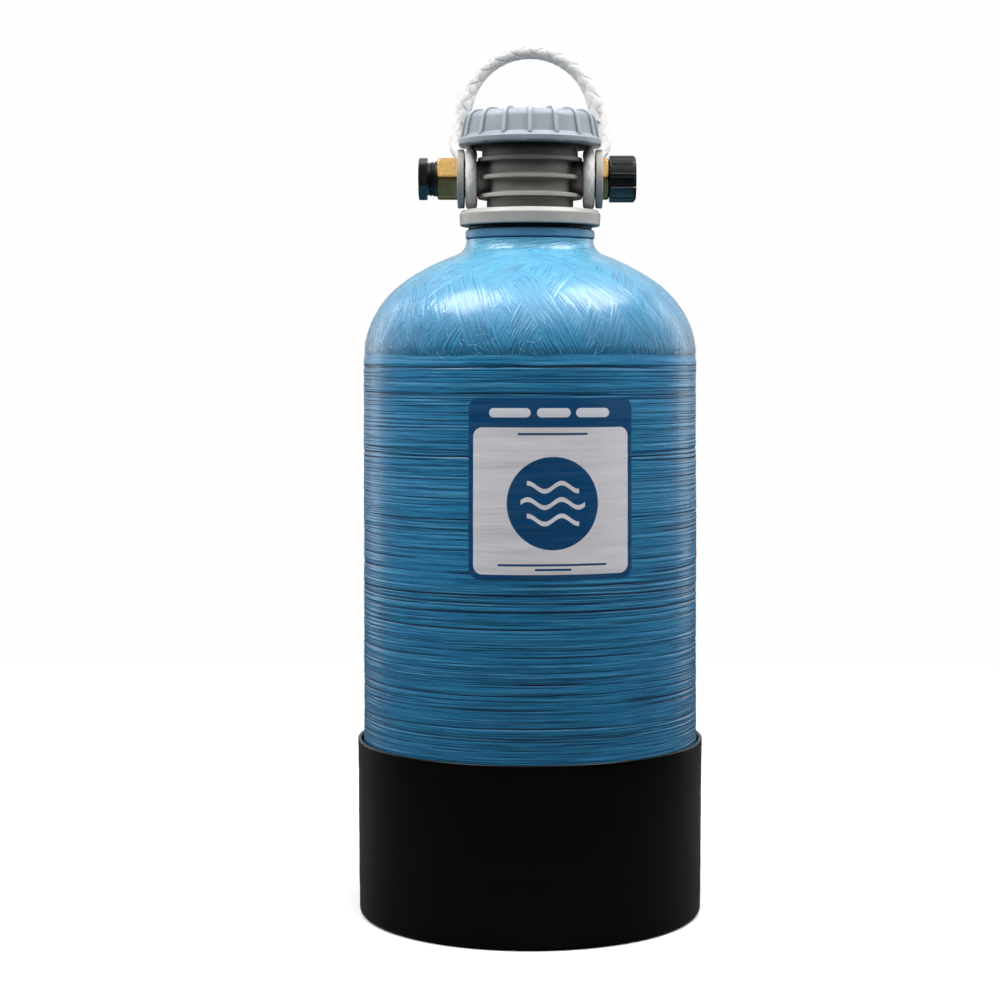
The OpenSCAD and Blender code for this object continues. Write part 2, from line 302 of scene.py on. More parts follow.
class Nodes:
    """A node tree being put together. Inputs may be sockets or plain values."""

    def __init__(self, tree, place):
        self.tree = tree
        self.place = self.node("ShaderNodeTexCoord", {}).outputs[place]

    def node(self, kind, inputs, **settings):
        made = self.tree.nodes.new(kind)
        for key, value in settings.items():
            setattr(made, key, value)
        self.wire(made, inputs)
        return made

    def wire(self, node, inputs):
        for key, value in inputs.items():
            if isinstance(value, bpy.types.NodeSocket):
                self.tree.links.new(value, node.inputs[key])
            elif isinstance(value, tuple) and len(value) == 3 and node.inputs[key].type == "RGBA":
                node.inputs[key].default_value = (*value, 1)
            else:
                node.inputs[key].default_value = value

    def math(self, operation, a, b=0.0, c=0.0):
        return self.node("ShaderNodeMath", {0: a, 1: b, 2: c}, operation=operation).outputs[0]

    def times(self, a, b):
        return self.math("MULTIPLY", a, b)

    def minus(self, a, b):
        return self.math("SUBTRACT", a, b)

    def length(self, a, b):
        """The length of the flat vector (a, b)."""
        return self.math("SQRT", self.math("ADD", self.times(a, a), self.times(b, b)))

    def stretched(self, scale, place=None):
        """The place vector multiplied by scale, one factor per axis."""
        inputs = {"Vector": place or self.place, "Scale": scale}
        return self.node("ShaderNodeMapping", inputs).outputs[0]

    def noise(self, scale, detail=3.0, rough=0.5, place=None):
        inputs = {"Vector": place or self.place, "Scale": scale, "Detail": detail, "Roughness": rough}
        return self.node("ShaderNodeTexNoise", inputs).outputs["Fac"]

    def ramp(self, value, low, high, start=0.0, end=1.0):
        """value from low to high becomes start to end, clamped."""
        inputs = {"Value": value, 1: low, 2: high, 3: start, 4: end}
        return self.node("ShaderNodeMapRange", inputs).outputs[0]

    def mix(self, share, a, b):
        made = self.node("ShaderNodeMix", {}, data_type="RGBA")
        self.wire(made, {0: share, 6: a, 7: b})
        return made.outputs[2]

    def field(self, name):
        return self.node("ShaderNodeAttribute", {}, attribute_name=name).outputs["Fac"]

    def pair(self, across, along):
        """A place vector made of two fields."""
        inputs = {0: self.field(across), 1: self.field(along), 2: 0.0}
        return self.node("ShaderNodeCombineXYZ", inputs).outputs[0]

    def split(self, place=None):
        return self.node("ShaderNodeSeparateXYZ", {0: place or self.place}).outputs[:3]

    def upward(self):
        """1 where the surface faces up, 0 where it is upright and -1 where it faces down."""
        return self.split(self.node("ShaderNodeNewGeometry", {}).outputs["Normal"])[2]

    def camera_ray(self):
        """1 for what the camera sees directly and 0 for light that bounces."""
        return self.node("ShaderNodeLightPath", {}).outputs["Is Camera Ray"]

    def bump(self, height, distance, strength=1.0, normal=None):
        """A bump whose height runs over distance, in metres."""
        inputs = {"Height": height, "Distance": distance, "Strength": strength}
        if normal:
            inputs["Normal"] = normal
        return self.node("ShaderNodeBump", inputs).outputs[0]


class Look(Nodes):
    """A material being put together round its principled shader."""

    def __init__(self, name, color, roughness, **more):
        self.material = bpy.data.materials.new(name)
        self.material.use_nodes = True
        super().__init__(self.material.node_tree, "Object")
        self.shader = self.tree.nodes["Principled BSDF"]
        self.finish(Base_Color=color, Roughness=roughness, **more)

    def finish(self, **inputs):
        """Sets the shader's inputs. An underscore in a name stands for a space."""
        self.wire(self.shader, {key.replace("_", " "): value for key, value in inputs.items()})
        return self.material


def in_corners(look, reach):
    """1 deep in a corner and 0 on open surfaces. reach is in millimetres."""
    found = look.node("ShaderNodeAmbientOcclusion", {"Distance": reach * MM}, samples=8)
    return look.ramp(found.outputs["AO"], 0.80, 0.25)


# Colour of the painted shade in corners and under overhangs.
PAINTED_SHADE = (0.006, 0.006, 0.006)


def plastic(name, color, light, roughness, grain=0.04, scale=160, corner_shade=0.0, reach=12,
            wear_and_highlight=None, overhang_shadow_z=None, **more):
    """Moulded plastic: faint cloudy tone, fine pitted grain, a few scuffs, and painted shade in corners.

    wear_and_highlight is a lighter colour for what a "crest" field marks from 0 to 1, such as the tops
    or the edges of ribs: partly wear and partly a painted highlight, with painted shade on the rib
    flanks. overhang_shadow_z is the height of an overhang: the last few millimetres below it darken
    as a painted shadow, and the painted shade in corners is weaker out on the bosses than round the
    drum.
    """
    look = Look(name, color, roughness, **more)
    cloud = look.noise(scale / 4, 4)
    scuff = look.ramp(look.noise(1, 5, 0.7, look.stretched((130, 130, 480))), 0.62, 0.72)
    tone = look.mix(look.ramp(cloud, 0.35, 0.65), color, light)
    tone = look.mix(look.times(scuff, 0.25), tone, light)
    # Painted shadow in the last few millimetres below an overhang; painted corner shade weakens out on the
    # bosses.
    if overhang_shadow_z:
        x, _, z = look.split()
        corner_shade = look.ramp(look.math("ABSOLUTE", x), 27 * MM, 33 * MM, corner_shade, 0.35)
        shade = look.ramp(z, (overhang_shadow_z - 6) * MM, (overhang_shadow_z - 1.5) * MM, 0, 0.8)
        tone = look.mix(shade, tone, PAINTED_SHADE)
    # Painted shade in corners, from ambient occlusion.
    if corner_shade:
        tone = look.mix(look.times(in_corners(look, reach), corner_shade), tone, PAINTED_SHADE)
    # Painted shade on rib flanks; crests turn lighter, partly wear and partly a painted highlight.
    if wear_and_highlight:
        crest = look.field("crest")
        tone = look.mix(look.times(look.ramp(crest, 0.0, 0.10), 0.30), tone, (0.04, 0.05, 0.06))
        tone = look.mix(look.ramp(crest, 0.3, 0.8), tone, wear_and_highlight)
    rough = look.ramp(cloud, 0.3, 0.7, roughness - 0.06, roughness + 0.08)
    rough = look.math("ADD", rough, look.times(scuff, 0.12))
    bumps = look.bump(look.noise(scale * 12, 3), grain * MM)
    bumps = look.bump(look.noise(scale * 1.6, 2), grain * 3 * MM, 0.5, bumps)
    return look.finish(Base_Color=tone, Roughness=rough, Normal=bumps)


def black_gloss(name, wear_and_highlight=None):
    """Glossy black plastic, as of the hose nut and the plug."""
    return plastic(name, (0.0075, 0.0077, 0.0085), (0.014, 0.014, 0.016), 0.17, 0.02, 200, wear_and_highlight=wear_and_highlight)


def rubber():
    """Moulded rubber: near black, with a dusty bloom and a fine grain."""
    look = Look("rubber", (0.012, 0.012, 0.014), 0.5)
    bloom = look.ramp(look.noise(220, 5, 0.65), 0.42, 0.7)
    tone = look.mix(bloom, (0.010, 0.010, 0.012), (0.035, 0.035, 0.038))
    bumps = look.bump(look.noise(2600, 2), 0.03 * MM)
    return look.finish(Base_Color=tone, Roughness=look.ramp(bloom, 0, 1, 0.38, 0.62), Normal=bumps)


def brass():
    """Machined brass: fine turning lines, tarnish in patches, painted shade on undersides, tiny pits."""
    look = Look("brass", (0.62, 0.40, 0.14), 0.3, Metallic=1.0)
    patch = look.ramp(look.noise(170, 5, 0.62), 0.38, 0.66)
    pits = look.ramp(look.noise(950, 3, 0.6), 0.60, 0.68)
    tone = look.mix(patch, (0.74, 0.48, 0.18), (0.48, 0.29, 0.09))
    tone = look.mix(look.times(pits, 0.7), tone, (0.20, 0.13, 0.06))
    # Painted shade: faces that point down turn dark.
    tone = look.mix(look.ramp(look.upward(), -0.15, -0.45, 0, 0.85), tone, (0.34, 0.125, 0.045))
    lines = look.noise(1, 2, 0.5, look.stretched((2600, 90, 90)))
    bumps = look.bump(lines, 0.03 * MM)
    bumps = look.bump(look.minus(1.0, pits), 0.10 * MM, 0.7, bumps)
    rough = look.ramp(patch, 0, 1, 0.24, 0.40)
    return look.finish(Base_Color=tone, Roughness=rough, Normal=bumps)


def fibre_lines(look):
    """Fine lines along the crossed strands, from the lane and run fields, fading at band edges."""
    place = look.pair("lane", "run")
    coarse = look.noise(1, 2, 0.5, look.stretched((1.4, 0.05, 1), place))
    fine = look.noise(1, 3, 0.6, look.stretched((5.0, 0.10, 1), place))
    line = look.math("ADD", look.times(coarse, 0.7), look.times(fine, 0.3))
    return look.math("MULTIPLY_ADD", look.minus(line, 0.5), look.field("inland"), 0.5)


def level_fibres(look):
    """Fine level lines round the tank, fading in and out."""
    coarse = look.noise(1, 4, 0.6, look.stretched((22, 22, 520)))
    fine = look.noise(1, 3, 0.6, look.stretched((60, 60, 1500)))
    return look.math("ADD", look.times(coarse, 0.55), look.times(fine, 0.45))


def wound_fibre(name, pale, deep, shade, rough, lines, line_depth, coat, crown=None):
    """Blue resin over glass fibre: pale crests, dark valleys, fine strands and a clear coat.

    lines makes the fine lines of the strands. crown is a paler colour towards the neck, a painted
    sheen: with it, the dome darkens towards the hoops, and without it, the wall darkens towards the
    boot. Both darkenings are painted shade. The pale crests are partly each strand's own tone and
    partly a painted highlight, the dark valleys and band edges are painted shade, and the pale
    specks are painted glints.
    """
    look = Look(name, pale, rough)
    line = lines(look)
    dip = look.field("dip")
    strand = look.field("strand")
    cloud = look.ramp(look.noise(28, 4, 0.6), 0.3, 0.7)
    speck = look.ramp(look.noise(640, 3, 0.6), 0.66, 0.76)
    tone = look.mix(cloud, pale, deep)
    z = look.split()[2]
    # Painted sheen towards the neck and painted shade towards the hoops; without crown, painted shade
    # towards the boot.
    if crown:
        high = look.ramp(z, (WRAP_HIGH[2] - 48) * MM, (WRAP_HIGH[2] - 12) * MM, 0, 0.5)
        tone = look.mix(high, tone, crown)
        low = look.ramp(z, (DOME_Z + 30) * MM, (DOME_Z + 4) * MM, 0, 0.40)
    else:
        low = look.ramp(z, (BOOT_HIGH[2] + 130) * MM, (BOOT_HIGH[2] + 10) * MM, 0, 0.16)
    tone = look.mix(low, tone, shade)
    # Pale crests: each strand's own tone, partly a painted highlight.
    tone = look.mix(look.ramp(strand, 0.3, 1.0, 0.0, 0.30), tone, (0.12, 0.42, 0.64))
    tone = look.mix(look.ramp(line, 0.50, 0.38, 0.0, 0.45), tone, shade)
    tone = look.mix(look.ramp(line, 0.56, 0.68, 0.0, 0.35), tone, (0.16, 0.46, 0.68))
    # Dark valleys and band edges, from the dip field: painted shade.
    tone = look.mix(look.ramp(dip, 0.05, 1.0, 0.0, 0.94), tone, shade)
    # Pale specks: painted glints.
    tone = look.mix(look.times(speck, 0.15), tone, (0.45, 0.70, 0.85))
    bumps = look.bump(line, line_depth * MM)
    bumps = look.bump(look.noise(1300, 3, 0.6), 0.04 * MM, 1.0, bumps)
    bumps = look.bump(look.noise(190, 3, 0.5), 0.25 * MM, 0.5, bumps)
    roughness = look.ramp(cloud, 0, 1, rough - 0.05, rough + 0.07)
    return look.finish(Base_Color=tone, Roughness=roughness, Normal=bumps,
                       Coat_Weight=coat, Coat_Roughness=0.20)


# ---------------------------------------------------------------- tank

DOME_H = 80
KNUCKLE_R = 63
NECK_R = 44
DOME_Z = WRAP_HIGH[2] - DOME_H - 1.5
LOW_DOME_Z = WRAP_LOW[2] + DOME_H
KNUCKLE_X = TANK_R - KNUCKLE_R
CROWN_R = (KNUCKLE_X**2 + DOME_H**2 - KNUCKLE_R**2) / (2 * (DOME_H - KNUCKLE_R))
CROWN_DROP = CROWN_R - DOME_H
TANGENT = math.degrees(math.atan2(CROWN_DROP, KNUCKLE_X))
HOOP_TOP = DOME_Z + 2.7
HOOP_WALL = 0.9
UNDER_HOOPS = 1.4
HOOP_LOW = LOW_DOME_Z + 2


def dome_outline():
    """Outer outline of the upper dome from its base to the top of the neck."""
    rise = WRAP_HIGH[2] - (DOME_Z - CROWN_DROP)
    fillet = (NECK_R**2 + rise**2 - CROWN_R**2) / (2 * (CROWN_R - NECK_R))
    meet = math.degrees(math.atan2(rise, NECK_R + fillet))
    return np.concatenate([
        arc_points(KNUCKLE_X, DOME_Z, KNUCKLE_R, 0, TANGENT, 40),
        arc_points(0, DOME_Z - CROWN_DROP, CROWN_R, TANGENT, meet, 40)[1:],
        arc_points(NECK_R + fillet, WRAP_HIGH[2], fillet, 180 + meet, 180, 30)[1:],
    ])


def low_dome_outline(inset=0.0):
    """Outline of the lower dome from the axis out to the side."""
    return np.concatenate([
        arc_points(0, LOW_DOME_Z + CROWN_DROP, CROWN_R - inset, 270, 360 - TANGENT, 24),
        arc_points(KNUCKLE_X, LOW_DOME_Z, KNUCKLE_R - inset, 360 - TANGENT, 360, 16)[1:],
    ])


BANDS = 42
BAND_STEP = 13
BAND_W = 20
STRAND_W = 2.2
STRAND_CELL = 9
FIBRE_TURN_R = 46


def helical_relief(radius, arc, angle, rng):
    """Relief of crossed fibre bands that follow geodesics, and the fields for their look.

    A fibre keeps radius times the sine of its lean constant, so bands lean over as the dome
    narrows and run nearly level at the neck. Where bands cross, the one wound later is on top.
    strand is the crest of each strand and dip the valley beside it. lane and run are the place
    across and along the strands, apart for each band, and inland falls off at a band's edge.
    """
    lean = np.arcsin(np.clip(FIBRE_TURN_R / radius, 0, 0.985))
    step = np.gradient(arc)
    swept = np.cumsum(np.tan(lean) / radius * step)
    length = np.cumsum(step / np.cos(lean))
    across = (radius * np.cos(lean))[:, None]
    shape = (len(radius), len(angle))
    top = np.full(shape, -1)
    offset = np.zeros(shape)
    for side in (1, -1):
        for k in range(BANDS):
            centre = k * TAU / BANDS + (0.4 if side < 0 else 0)
            delta = (angle[None, :] - centre - side * swept[:, None] + math.pi) % TAU - math.pi
            distance = delta * across
            order = 2 * (k * BAND_STEP % BANDS) + (side < 0)
            over = (np.abs(distance) < BAND_W / 2) & (order > top)
            top[over] = order
            offset[over] = distance[over]
    strands = int(BAND_W / STRAND_W) + 3
    cells = int(length[-1] / STRAND_CELL) + 3
    table = rng.uniform(0, 1, (2 * BANDS, strands, cells))
    level = rng.uniform(0.05, 0.18, 2 * BANDS)
    wander = 0.45 * drift(rng, arc / arc[-1], angle / TAU, 12, 36)
    lane = offset / STRAND_W + strands / 2 + wander
    strand = np.clip(lane.astype(int), 0, strands - 1)
    inside = np.abs(lane - strand - 0.5) * 2
    place = np.broadcast_to((length / STRAND_CELL)[:, None], shape)
    cell = np.clip(place.astype(int), 0, cells - 2)
    share = smooth(place - cell)
    strength = table[top, strand, cell] * (1 - share) + table[top, strand, cell + 1] * share
    edge = smooth((BAND_W / 2 - np.abs(offset)) / 3.2)
    crest = np.sqrt(np.clip(1 - 0.96 * inside**2, 0, 1))
    relief = level[top] * edge + (0.08 + 0.46 * strength**1.5) * (crest - 1)
    # dip marks valleys beside strands and band edges, which the material darkens as painted shade.
    dip = smooth((inside - 0.60) / 0.40) * strength**1.5
    dip = np.maximum(dip, 0.08 * smooth((0.22 - edge) / 0.22))
    seam = np.zeros(shape, bool)
    for axis in (0, 1):
        for shift in (1, -1):
            seam |= top != np.roll(top, shift, axis)
    inland = np.where(seam, 0, 0.3 + 0.7 * edge)
    return relief, {"strand": strength * crest, "dip": dip, "inland": inland,
                    "lane": lane + top * 17.0, "run": place * STRAND_CELL + top * 3.7}


def helical_skin():
    """The crossed winding that shows on the dome, closed below and inside the boot."""
    rng = np.random.default_rng(11)
    columns = 960
    angle = turns(columns)
    visible = evenly(np.concatenate([[[TANK_R, DOME_Z - 7]], dome_outline()]), 0.62)
    arc = lengths_along(visible)
    relief, marks = helical_relief(visible[:, 0], arc, angle, rng)
    swell = 0.22 * drift(rng, arc / arc[-1], angle / TAU, 8, 14)
    under = UNDER_HOOPS * (1 - smooth((arc - 2) / 14))
    fade = smooth((arc[-1] - arc) / 4) * smooth((arc - 3) / 5)
    height = (relief + swell) * fade[:, None] - under[:, None]
    normal = outward(visible)
    radius = visible[:, 0, None] + height * normal[:, 0, None]
    level = visible[:, 1, None] + height * normal[:, 1, None]
    outer = around_z(radius, level, angle)

    hidden = np.concatenate([low_dome_outline()[1:], [[TANK_R - UNDER_HOOPS, HOOP_LOW + 2]]])
    inner_r = NECK_HIGH[0] - 5.6
    inside = np.concatenate([
        [[inner_r, WRAP_HIGH[2]]],
        arc_points(0, DOME_Z - CROWN_DROP, CROWN_R - 3, 72, TANGENT, 10),
        arc_points(KNUCKLE_X, DOME_Z, KNUCKLE_R - 3, TANGENT, 0, 10)[1:],
        low_dome_outline(3)[::-1][:-1],
    ])
    shell = Shell()
    shell.ring(np.concatenate([lathe(hidden, angle), outer, lathe(inside, angle)]))
    before, after = np.zeros(len(hidden) * columns), np.zeros(len(inside) * columns + 2)
    fields = {name: np.concatenate([before, values, after], axis=None) for name, values in marks.items()}
    look = wound_fibre("wound_crossed", (0.045, 0.295, 0.520), (0.034, 0.240, 0.440), (0.005, 0.075, 0.185),
                       0.28, fibre_lines, 1.8, 0.9, (0.15, 0.49, 0.67))
    shell.piece("winding_crossed", "tank", ["tank_wrap"], look, 80, fields)


def once_round(rng, turn, fewest, most):
    """Smooth random values round the tank, in a random number of cells."""
    return drift(rng, [0.5], turn, 4, int(rng.integers(fewest, most)))[0]


def level_lines(height, angle, rng, gap, width, sway):
    """Nearly level rounded lines, a gap apart on average, that swell and fade round the tank."""
    field = np.zeros((len(height), len(angle)))
    turn = angle / TAU
    count = int((height[0] - height[-1]) / gap)
    for _ in range(count):
        middle = rng.uniform(height[-1], height[0]) + sway * once_round(rng, turn, 5, 9)
        middle += 0.10 * once_round(rng, turn, 45, 70)
        half = width * rng.uniform(0.6, 1.5)
        strength = smooth((once_round(rng, turn, 10, 26) + rng.uniform(-0.3, 0.8)) / 0.8)
        near = np.flatnonzero(np.abs(height - middle.mean()) < 3 * half + 2.2 * sway + 0.3)
        line = np.exp(-(((height[near, None] - middle[None, :]) / half) ** 2)) * strength
        field[near] = np.maximum(field[near], line)
    return field


def hoop_relief(height, angle, rng):
    """Relief of the level winding: long ridges and thin dark grooves that come and go."""
    rows = (height - height[-1]) / (height[0] - height[-1])
    turn = angle / TAU
    ridge = level_lines(height, angle, rng, 2.2, 0.9, 0.8)
    fine = level_lines(height, angle, rng, 0.8, 0.30, 0.6)
    groove = level_lines(height, angle, rng, 1.0, 0.23, 0.8)
    wide = level_lines(height, angle, rng, 7.0, 0.50, 1.0)
    relief = 0.12 * drift(rng, rows, turn, 40, 6) + 0.20 * ridge + 0.10 * fine - 0.26 * groove - 0.34 * wide
    strand = np.clip(0.6 * ridge + 0.7 * fine - groove, 0, 1)
    # dip marks grooves that the material darkens as painted shade.
    dip = np.clip(0.80 * groove + 0.9 * wide - 0.3 * fine, 0, 1)
    return relief, strand, dip


def hoop_skin():
    """The level winding, ragged at its upper edge. Returns its heights, angles and outer radius."""
    rng = np.random.default_rng(23)
    columns = 540
    angle = turns(columns)
    shown = np.arange(HOOP_TOP, BOOT_HIGH[2] - 6, -0.38)
    height = np.concatenate([shown, np.linspace(shown[-1] - 2, HOOP_LOW, 6)])
    relief, strand, dip = hoop_relief(height, angle, rng)
    turn = angle / TAU
    ragged = 0.45 * drift(rng, [0.5], turn, 4, 20) + 0.35 * drift(rng, [0.5], turn, 4, 90)
    depth = HOOP_TOP - height
    edge = (0.50 + 0.50 * smooth(depth / 6))[:, None]
    swell = 0.20 * drift(rng, depth / depth[-1], turn, 6, 9)
    radius = TANK_R - HOOP_WALL * (1 - edge) - 0.15 + (relief * smooth(depth / 7)[:, None] + swell) * edge
    level = height[:, None] + ragged * smooth((14 - depth) / 14)[:, None]
    outer = around_z(radius, level, angle)
    inner_r = TANK_R - HOOP_WALL - 0.8
    inner = np.array([[inner_r, HOOP_LOW], [inner_r, HOOP_TOP - 2.5]])
    shell = Shell()
    shell.ring(np.concatenate([outer, lathe(inner, angle)]), closed_rows=True)
    plain = np.zeros(len(inner) * columns)
    fields = {"strand": np.concatenate([strand, plain], axis=None),
              "dip": np.concatenate([dip, plain], axis=None)}
    look = wound_fibre("wound_level", (0.022, 0.215, 0.425), (0.016, 0.170, 0.355), (0.001, 0.022, 0.065),
                       0.40, level_fibres, 0.28, 0.3)
    shell.piece("winding_level", "tank", ["tank_wrap"], look, 80, fields)
    return height, angle, radius


def tube(shell, path, radius, sides):
    """A closed round tube along a path."""
    _, side, up = frames(path)
    turn = turns(sides)[:, None]
    grid = path[:, None] + radius[:, None, None] * (
        np.cos(turn) * side[:, None] + np.sin(turn) * up[:, None])
    shell.ring(grid)


def frames(path):
    """Tangents and two sideways directions that don't twist along the path."""
    tangent = unit(np.gradient(path, axis=0))
    side = np.zeros_like(path)
    guess = np.array([0.3, 0.2, 1.0]) if abs(tangent[0, 2]) < 0.8 else np.array([1.0, 0.2, 0.1])
    for i, t in enumerate(tangent):
        guess = guess - (guess @ t) * t
        guess = guess / np.linalg.norm(guess)
        side[i] = guess
    return tangent, side, np.cross(tangent, side)


def stray_fibres():
    """Loose curled glass hairs stuck in the resin, most of them by the upper edge of the hoops."""
    rng = np.random.default_rng(5)
    outline = evenly(dome_outline(), 1.0)
    normal = outward(outline)
    rows = np.arange(len(outline))
    stride = 0.7
    hairs, low_hairs = 150, 110
    shell = Shell()
    for k in range(hairs):
        low = k < low_hairs
        start = rng.uniform(0, 16) if low else rng.uniform(10, 90)
        angle = rng.uniform(0, TAU)
        heading = rng.uniform(0, TAU)
        bend = rng.normal(0, 0.20)
        points = []
        for _ in range(int(rng.integers(8, 20))):
            lift = 0.55 - UNDER_HOOPS * (1 - smooth((start + 5) / 14))
            spot = [np.interp(start, rows, outline[:, i] + lift * normal[:, i]) for i in (0, 1)]
            points.append(around_z(spot[0], spot[1], angle))
            heading += bend * 0.8
            start = float(np.clip(start + stride * math.sin(heading), 0, len(outline) - 2))
            angle += stride * math.cos(heading) / spot[0]
        tube(shell, np.array(points), np.full(len(points), 0.07), 4)
    look = Look("glass_hair", (0.30, 0.55, 0.72), 0.3)
    tone = look.mix(look.noise(300), (0.20, 0.46, 0.66), (0.55, 0.75, 0.86))
    shell.piece("stray_fibres", "tank", [], look.finish(Base_Color=tone))


# ---------------------------------------------------------------- label

LABEL_CORNER = 7
LABEL_FRAME = 3.1
LABEL_HEADER = 19


def label(hoop_height, hoop_angle, hoop_radius):
    """Printed film that lies on the level winding and shows its ridges."""
    film_r = TANK_R + 0.3
    left = math.asin(LABEL_LOW[0] / film_r)
    right = math.asin(LABEL_HIGH[0] / film_r)
    middle = (left + right) / 2
    half_w = (right - left) / 2 * film_r
    half_h = (LABEL_HIGH[2] - LABEL_LOW[2]) / 2
    centre_z = (LABEL_HIGH[2] + LABEL_LOW[2]) / 2
    even = np.linspace(-1, 1, 190)
    bunched = np.sin(even * math.pi / 2 * 0.93)
    up = half_h * (0.35 * bunched / bunched[-1] + 0.65 * even)
    past = np.clip(np.abs(up) - (half_h - LABEL_CORNER), 0, LABEL_CORNER)
    inset = LABEL_CORNER - np.sqrt(np.clip(LABEL_CORNER**2 - past**2, 0, None))
    across = np.linspace(-1, 1, 170)[None, :] * (half_w - inset)[:, None]
    up = np.broadcast_to(up[:, None], across.shape)
    angle = middle + across / film_r
    tops = np.max([np.roll(hoop_radius, k, 0) for k in range(-3, 4)], 0)
    soft = np.mean([np.roll(tops, k, 0) for k in range(-7, 8)], 0)
    z = centre_z + up
    column = (angle % TAU) / TAU * len(hoop_angle)
    row = np.interp(-z, -hoop_height, np.arange(len(hoop_height)))
    c0, r0 = column.astype(int), row.astype(int)
    fc, fr = column - c0, row - r0
    c1 = (c0 + 1) % len(hoop_angle)
    c0 = c0 % len(hoop_angle)
    near = soft[r0, c0] * (1 - fc) + soft[r0, c1] * fc
    far = soft[r0 + 1, c0] * (1 - fc) + soft[r0 + 1, c1] * fc
    radius = near * (1 - fr) + far * fr + 0.16
    shell = Shell()
    shell.slab(around_z(radius, z, angle), around_z(radius - 0.9, z, angle))
    fields = {"across": np.stack([across, across]), "up": np.stack([up, up])}
    shell.piece("label_film", "tank", ["label"], label_look(half_w, half_h), 60, fields)


def label_look(half_w, half_h):
    """Dark blue frame, silver-grey panel, a plain disc with three waves, and plain bars."""
    look = Look("label_print", (0.5, 0.55, 0.62), 0.3)
    x, y = look.field("across"), look.field("up")

    def beyond(value, centre, half):
        """Distance outside a strip, negative within."""
        return look.minus(look.math("ABSOLUTE", look.minus(value, centre)), half)

    def box_edge(cx, cy, hw, hh, corner):
        """Distance outside a rounded box, negative within."""
        px, py = beyond(x, cx, hw - corner), beyond(y, cy, hh - corner)
        out = look.length(look.math("MAXIMUM", px, 0.0), look.math("MAXIMUM", py, 0.0))
        inner = look.math("MINIMUM", look.math("MAXIMUM", px, py), 0.0)
        return look.minus(look.math("ADD", out, inner), corner)

    def ink(edge, soft=0.12):
        return look.ramp(edge, soft, -soft)

    navy = (0.006, 0.068, 0.185)
    silver = (0.76, 0.75, 0.79)
    pale = (0.76, 0.79, 0.84)
    panel_h = half_h - (LABEL_HEADER + LABEL_FRAME) / 2
    panel_y = (LABEL_FRAME - LABEL_HEADER) / 2
    panel = ink(box_edge(0, panel_y, half_w - LABEL_FRAME, panel_h, 6))
    tone = look.mix(panel, navy, silver)
    header_y = half_h - LABEL_HEADER / 2
    for cx, hw in ((-28, 13.5), (0.5, 11), (26.5, 11.5)):
        tone = look.mix(ink(box_edge(cx, header_y, hw, 3.0, 3.0)), tone, pale)
    disc_y = panel_y - 1.5
    disc_r = 30
    off_y = look.minus(y, disc_y)
    disc = ink(look.minus(look.length(x, off_y), disc_r))
    tone = look.mix(disc, tone, navy)
    wave_length, wave_height, wave_step = 22, 2.6, 10.5
    swing = look.times(look.math("SINE", look.times(x, TAU / wave_length)), wave_height)
    flat_y = look.minus(off_y, swing)
    for k, half_len in ((-1, 17), (0, 21), (1, 17)):
        line = ink(beyond(flat_y, k * wave_step, 1.5))
        ends = ink(beyond(x, 0.0, half_len))
        tone = look.mix(look.times(line, ends), tone, silver)
    low_y = panel_y - panel_h
    bar_h = 0.7
    for bar_y, half_len in ((panel_y + panel_h - 4.2, 23), (low_y + 6.2, 36), (low_y + 3.2, 12)):
        tone = look.mix(ink(box_edge(0, bar_y, half_len, bar_h, bar_h)), tone, navy)
    wear = look.noise(1, 4, 0.6, look.stretched((30, 30, 420)))
    tone = look.mix(look.ramp(wear, 0.45, 0.75, 0.0, 0.12), tone, (0.20, 0.24, 0.32))
    bumps = look.bump(look.noise(1, 3, 0.5, look.stretched((40, 40, 700))), 0.10 * MM)
    rough = look.ramp(wear, 0.3, 0.7, 0.28, 0.42)
    return look.finish(Base_Color=tone, Roughness=rough, Normal=bumps)


# ---------------------------------------------------------------- boot


def boot():
    """Moulded boot: skirt with a soft foot and a thin lip, floor ring, seat ring and webs."""
    rng = np.random.default_rng(3)
    top_r = BOOT_HIGH[0]
    top = BOOT_HIGH[2]
    foot_r = top_r - 1.0
    wall = 2.6
    hole = 40
    floor = 4
    sunk = floor - 1
    outline = rounded([
        (hole, 0, 0.8), (foot_r, 0, 3.2), (top_r, top, 0.9), (top_r - wall, top, 0.9),
        (top_r - wall, 20, 3), (foot_r - wall - 2, floor, 2), (hole, floor, 0.8)], closed=True)
    outline = densified(outline, 3.5, closed=True)
    angle = turns(288)
    r, z = outline.T
    skirt = smooth((r - foot_r + 6) / 5) * smooth((top - 2 - z) / 6)
    ripple = 0.14 * drift(rng, z / top, angle / TAU, 9, 5)
    ripple += 0.10 * drift(rng, z / top, angle / TAU, 22, 9)
    shell = Shell()
    shell.ring(lathe(outline, angle, (ripple - 0.2) * skirt[:, None]), closed_rows=True)
    seat_r = 73
    dome = low_dome_outline(-0.3)
    seat_top = np.interp(seat_r, dome[:, 0], dome[:, 1])
    seat = rounded([(seat_r - 3, sunk, 0), (seat_r + 3, sunk, 0), (seat_r + 3, seat_top, 0.6),
                    (seat_r - 3, seat_top - 1.6, 0.6)], closed=True)
    shell.ring(lathe(seat, turns(144)), closed_rows=True)
    reach = np.linspace(seat_r, foot_r - 0.9, 14)
    tops = np.minimum(np.interp(reach, dome[:, 0], dome[:, 1]), 65)
    heights = np.stack([np.full_like(tops, sunk), tops], 1)
    lean = 1.25 / reach
    for turn in turns(12) + math.pi / 2:
        shell.slab(*[around_z(reach[:, None], heights, (turn + side * lean)[:, None]) for side in (-1, 1)])
    look = plastic("boot_plastic", (0.0004, 0.0004, 0.0005), (0.0010, 0.0010, 0.0012), 0.28, 0.03, 60,
                   Specular_IOR_Level=0.30)
    shell.piece("boot_shell", "tank", ["boot"], look)


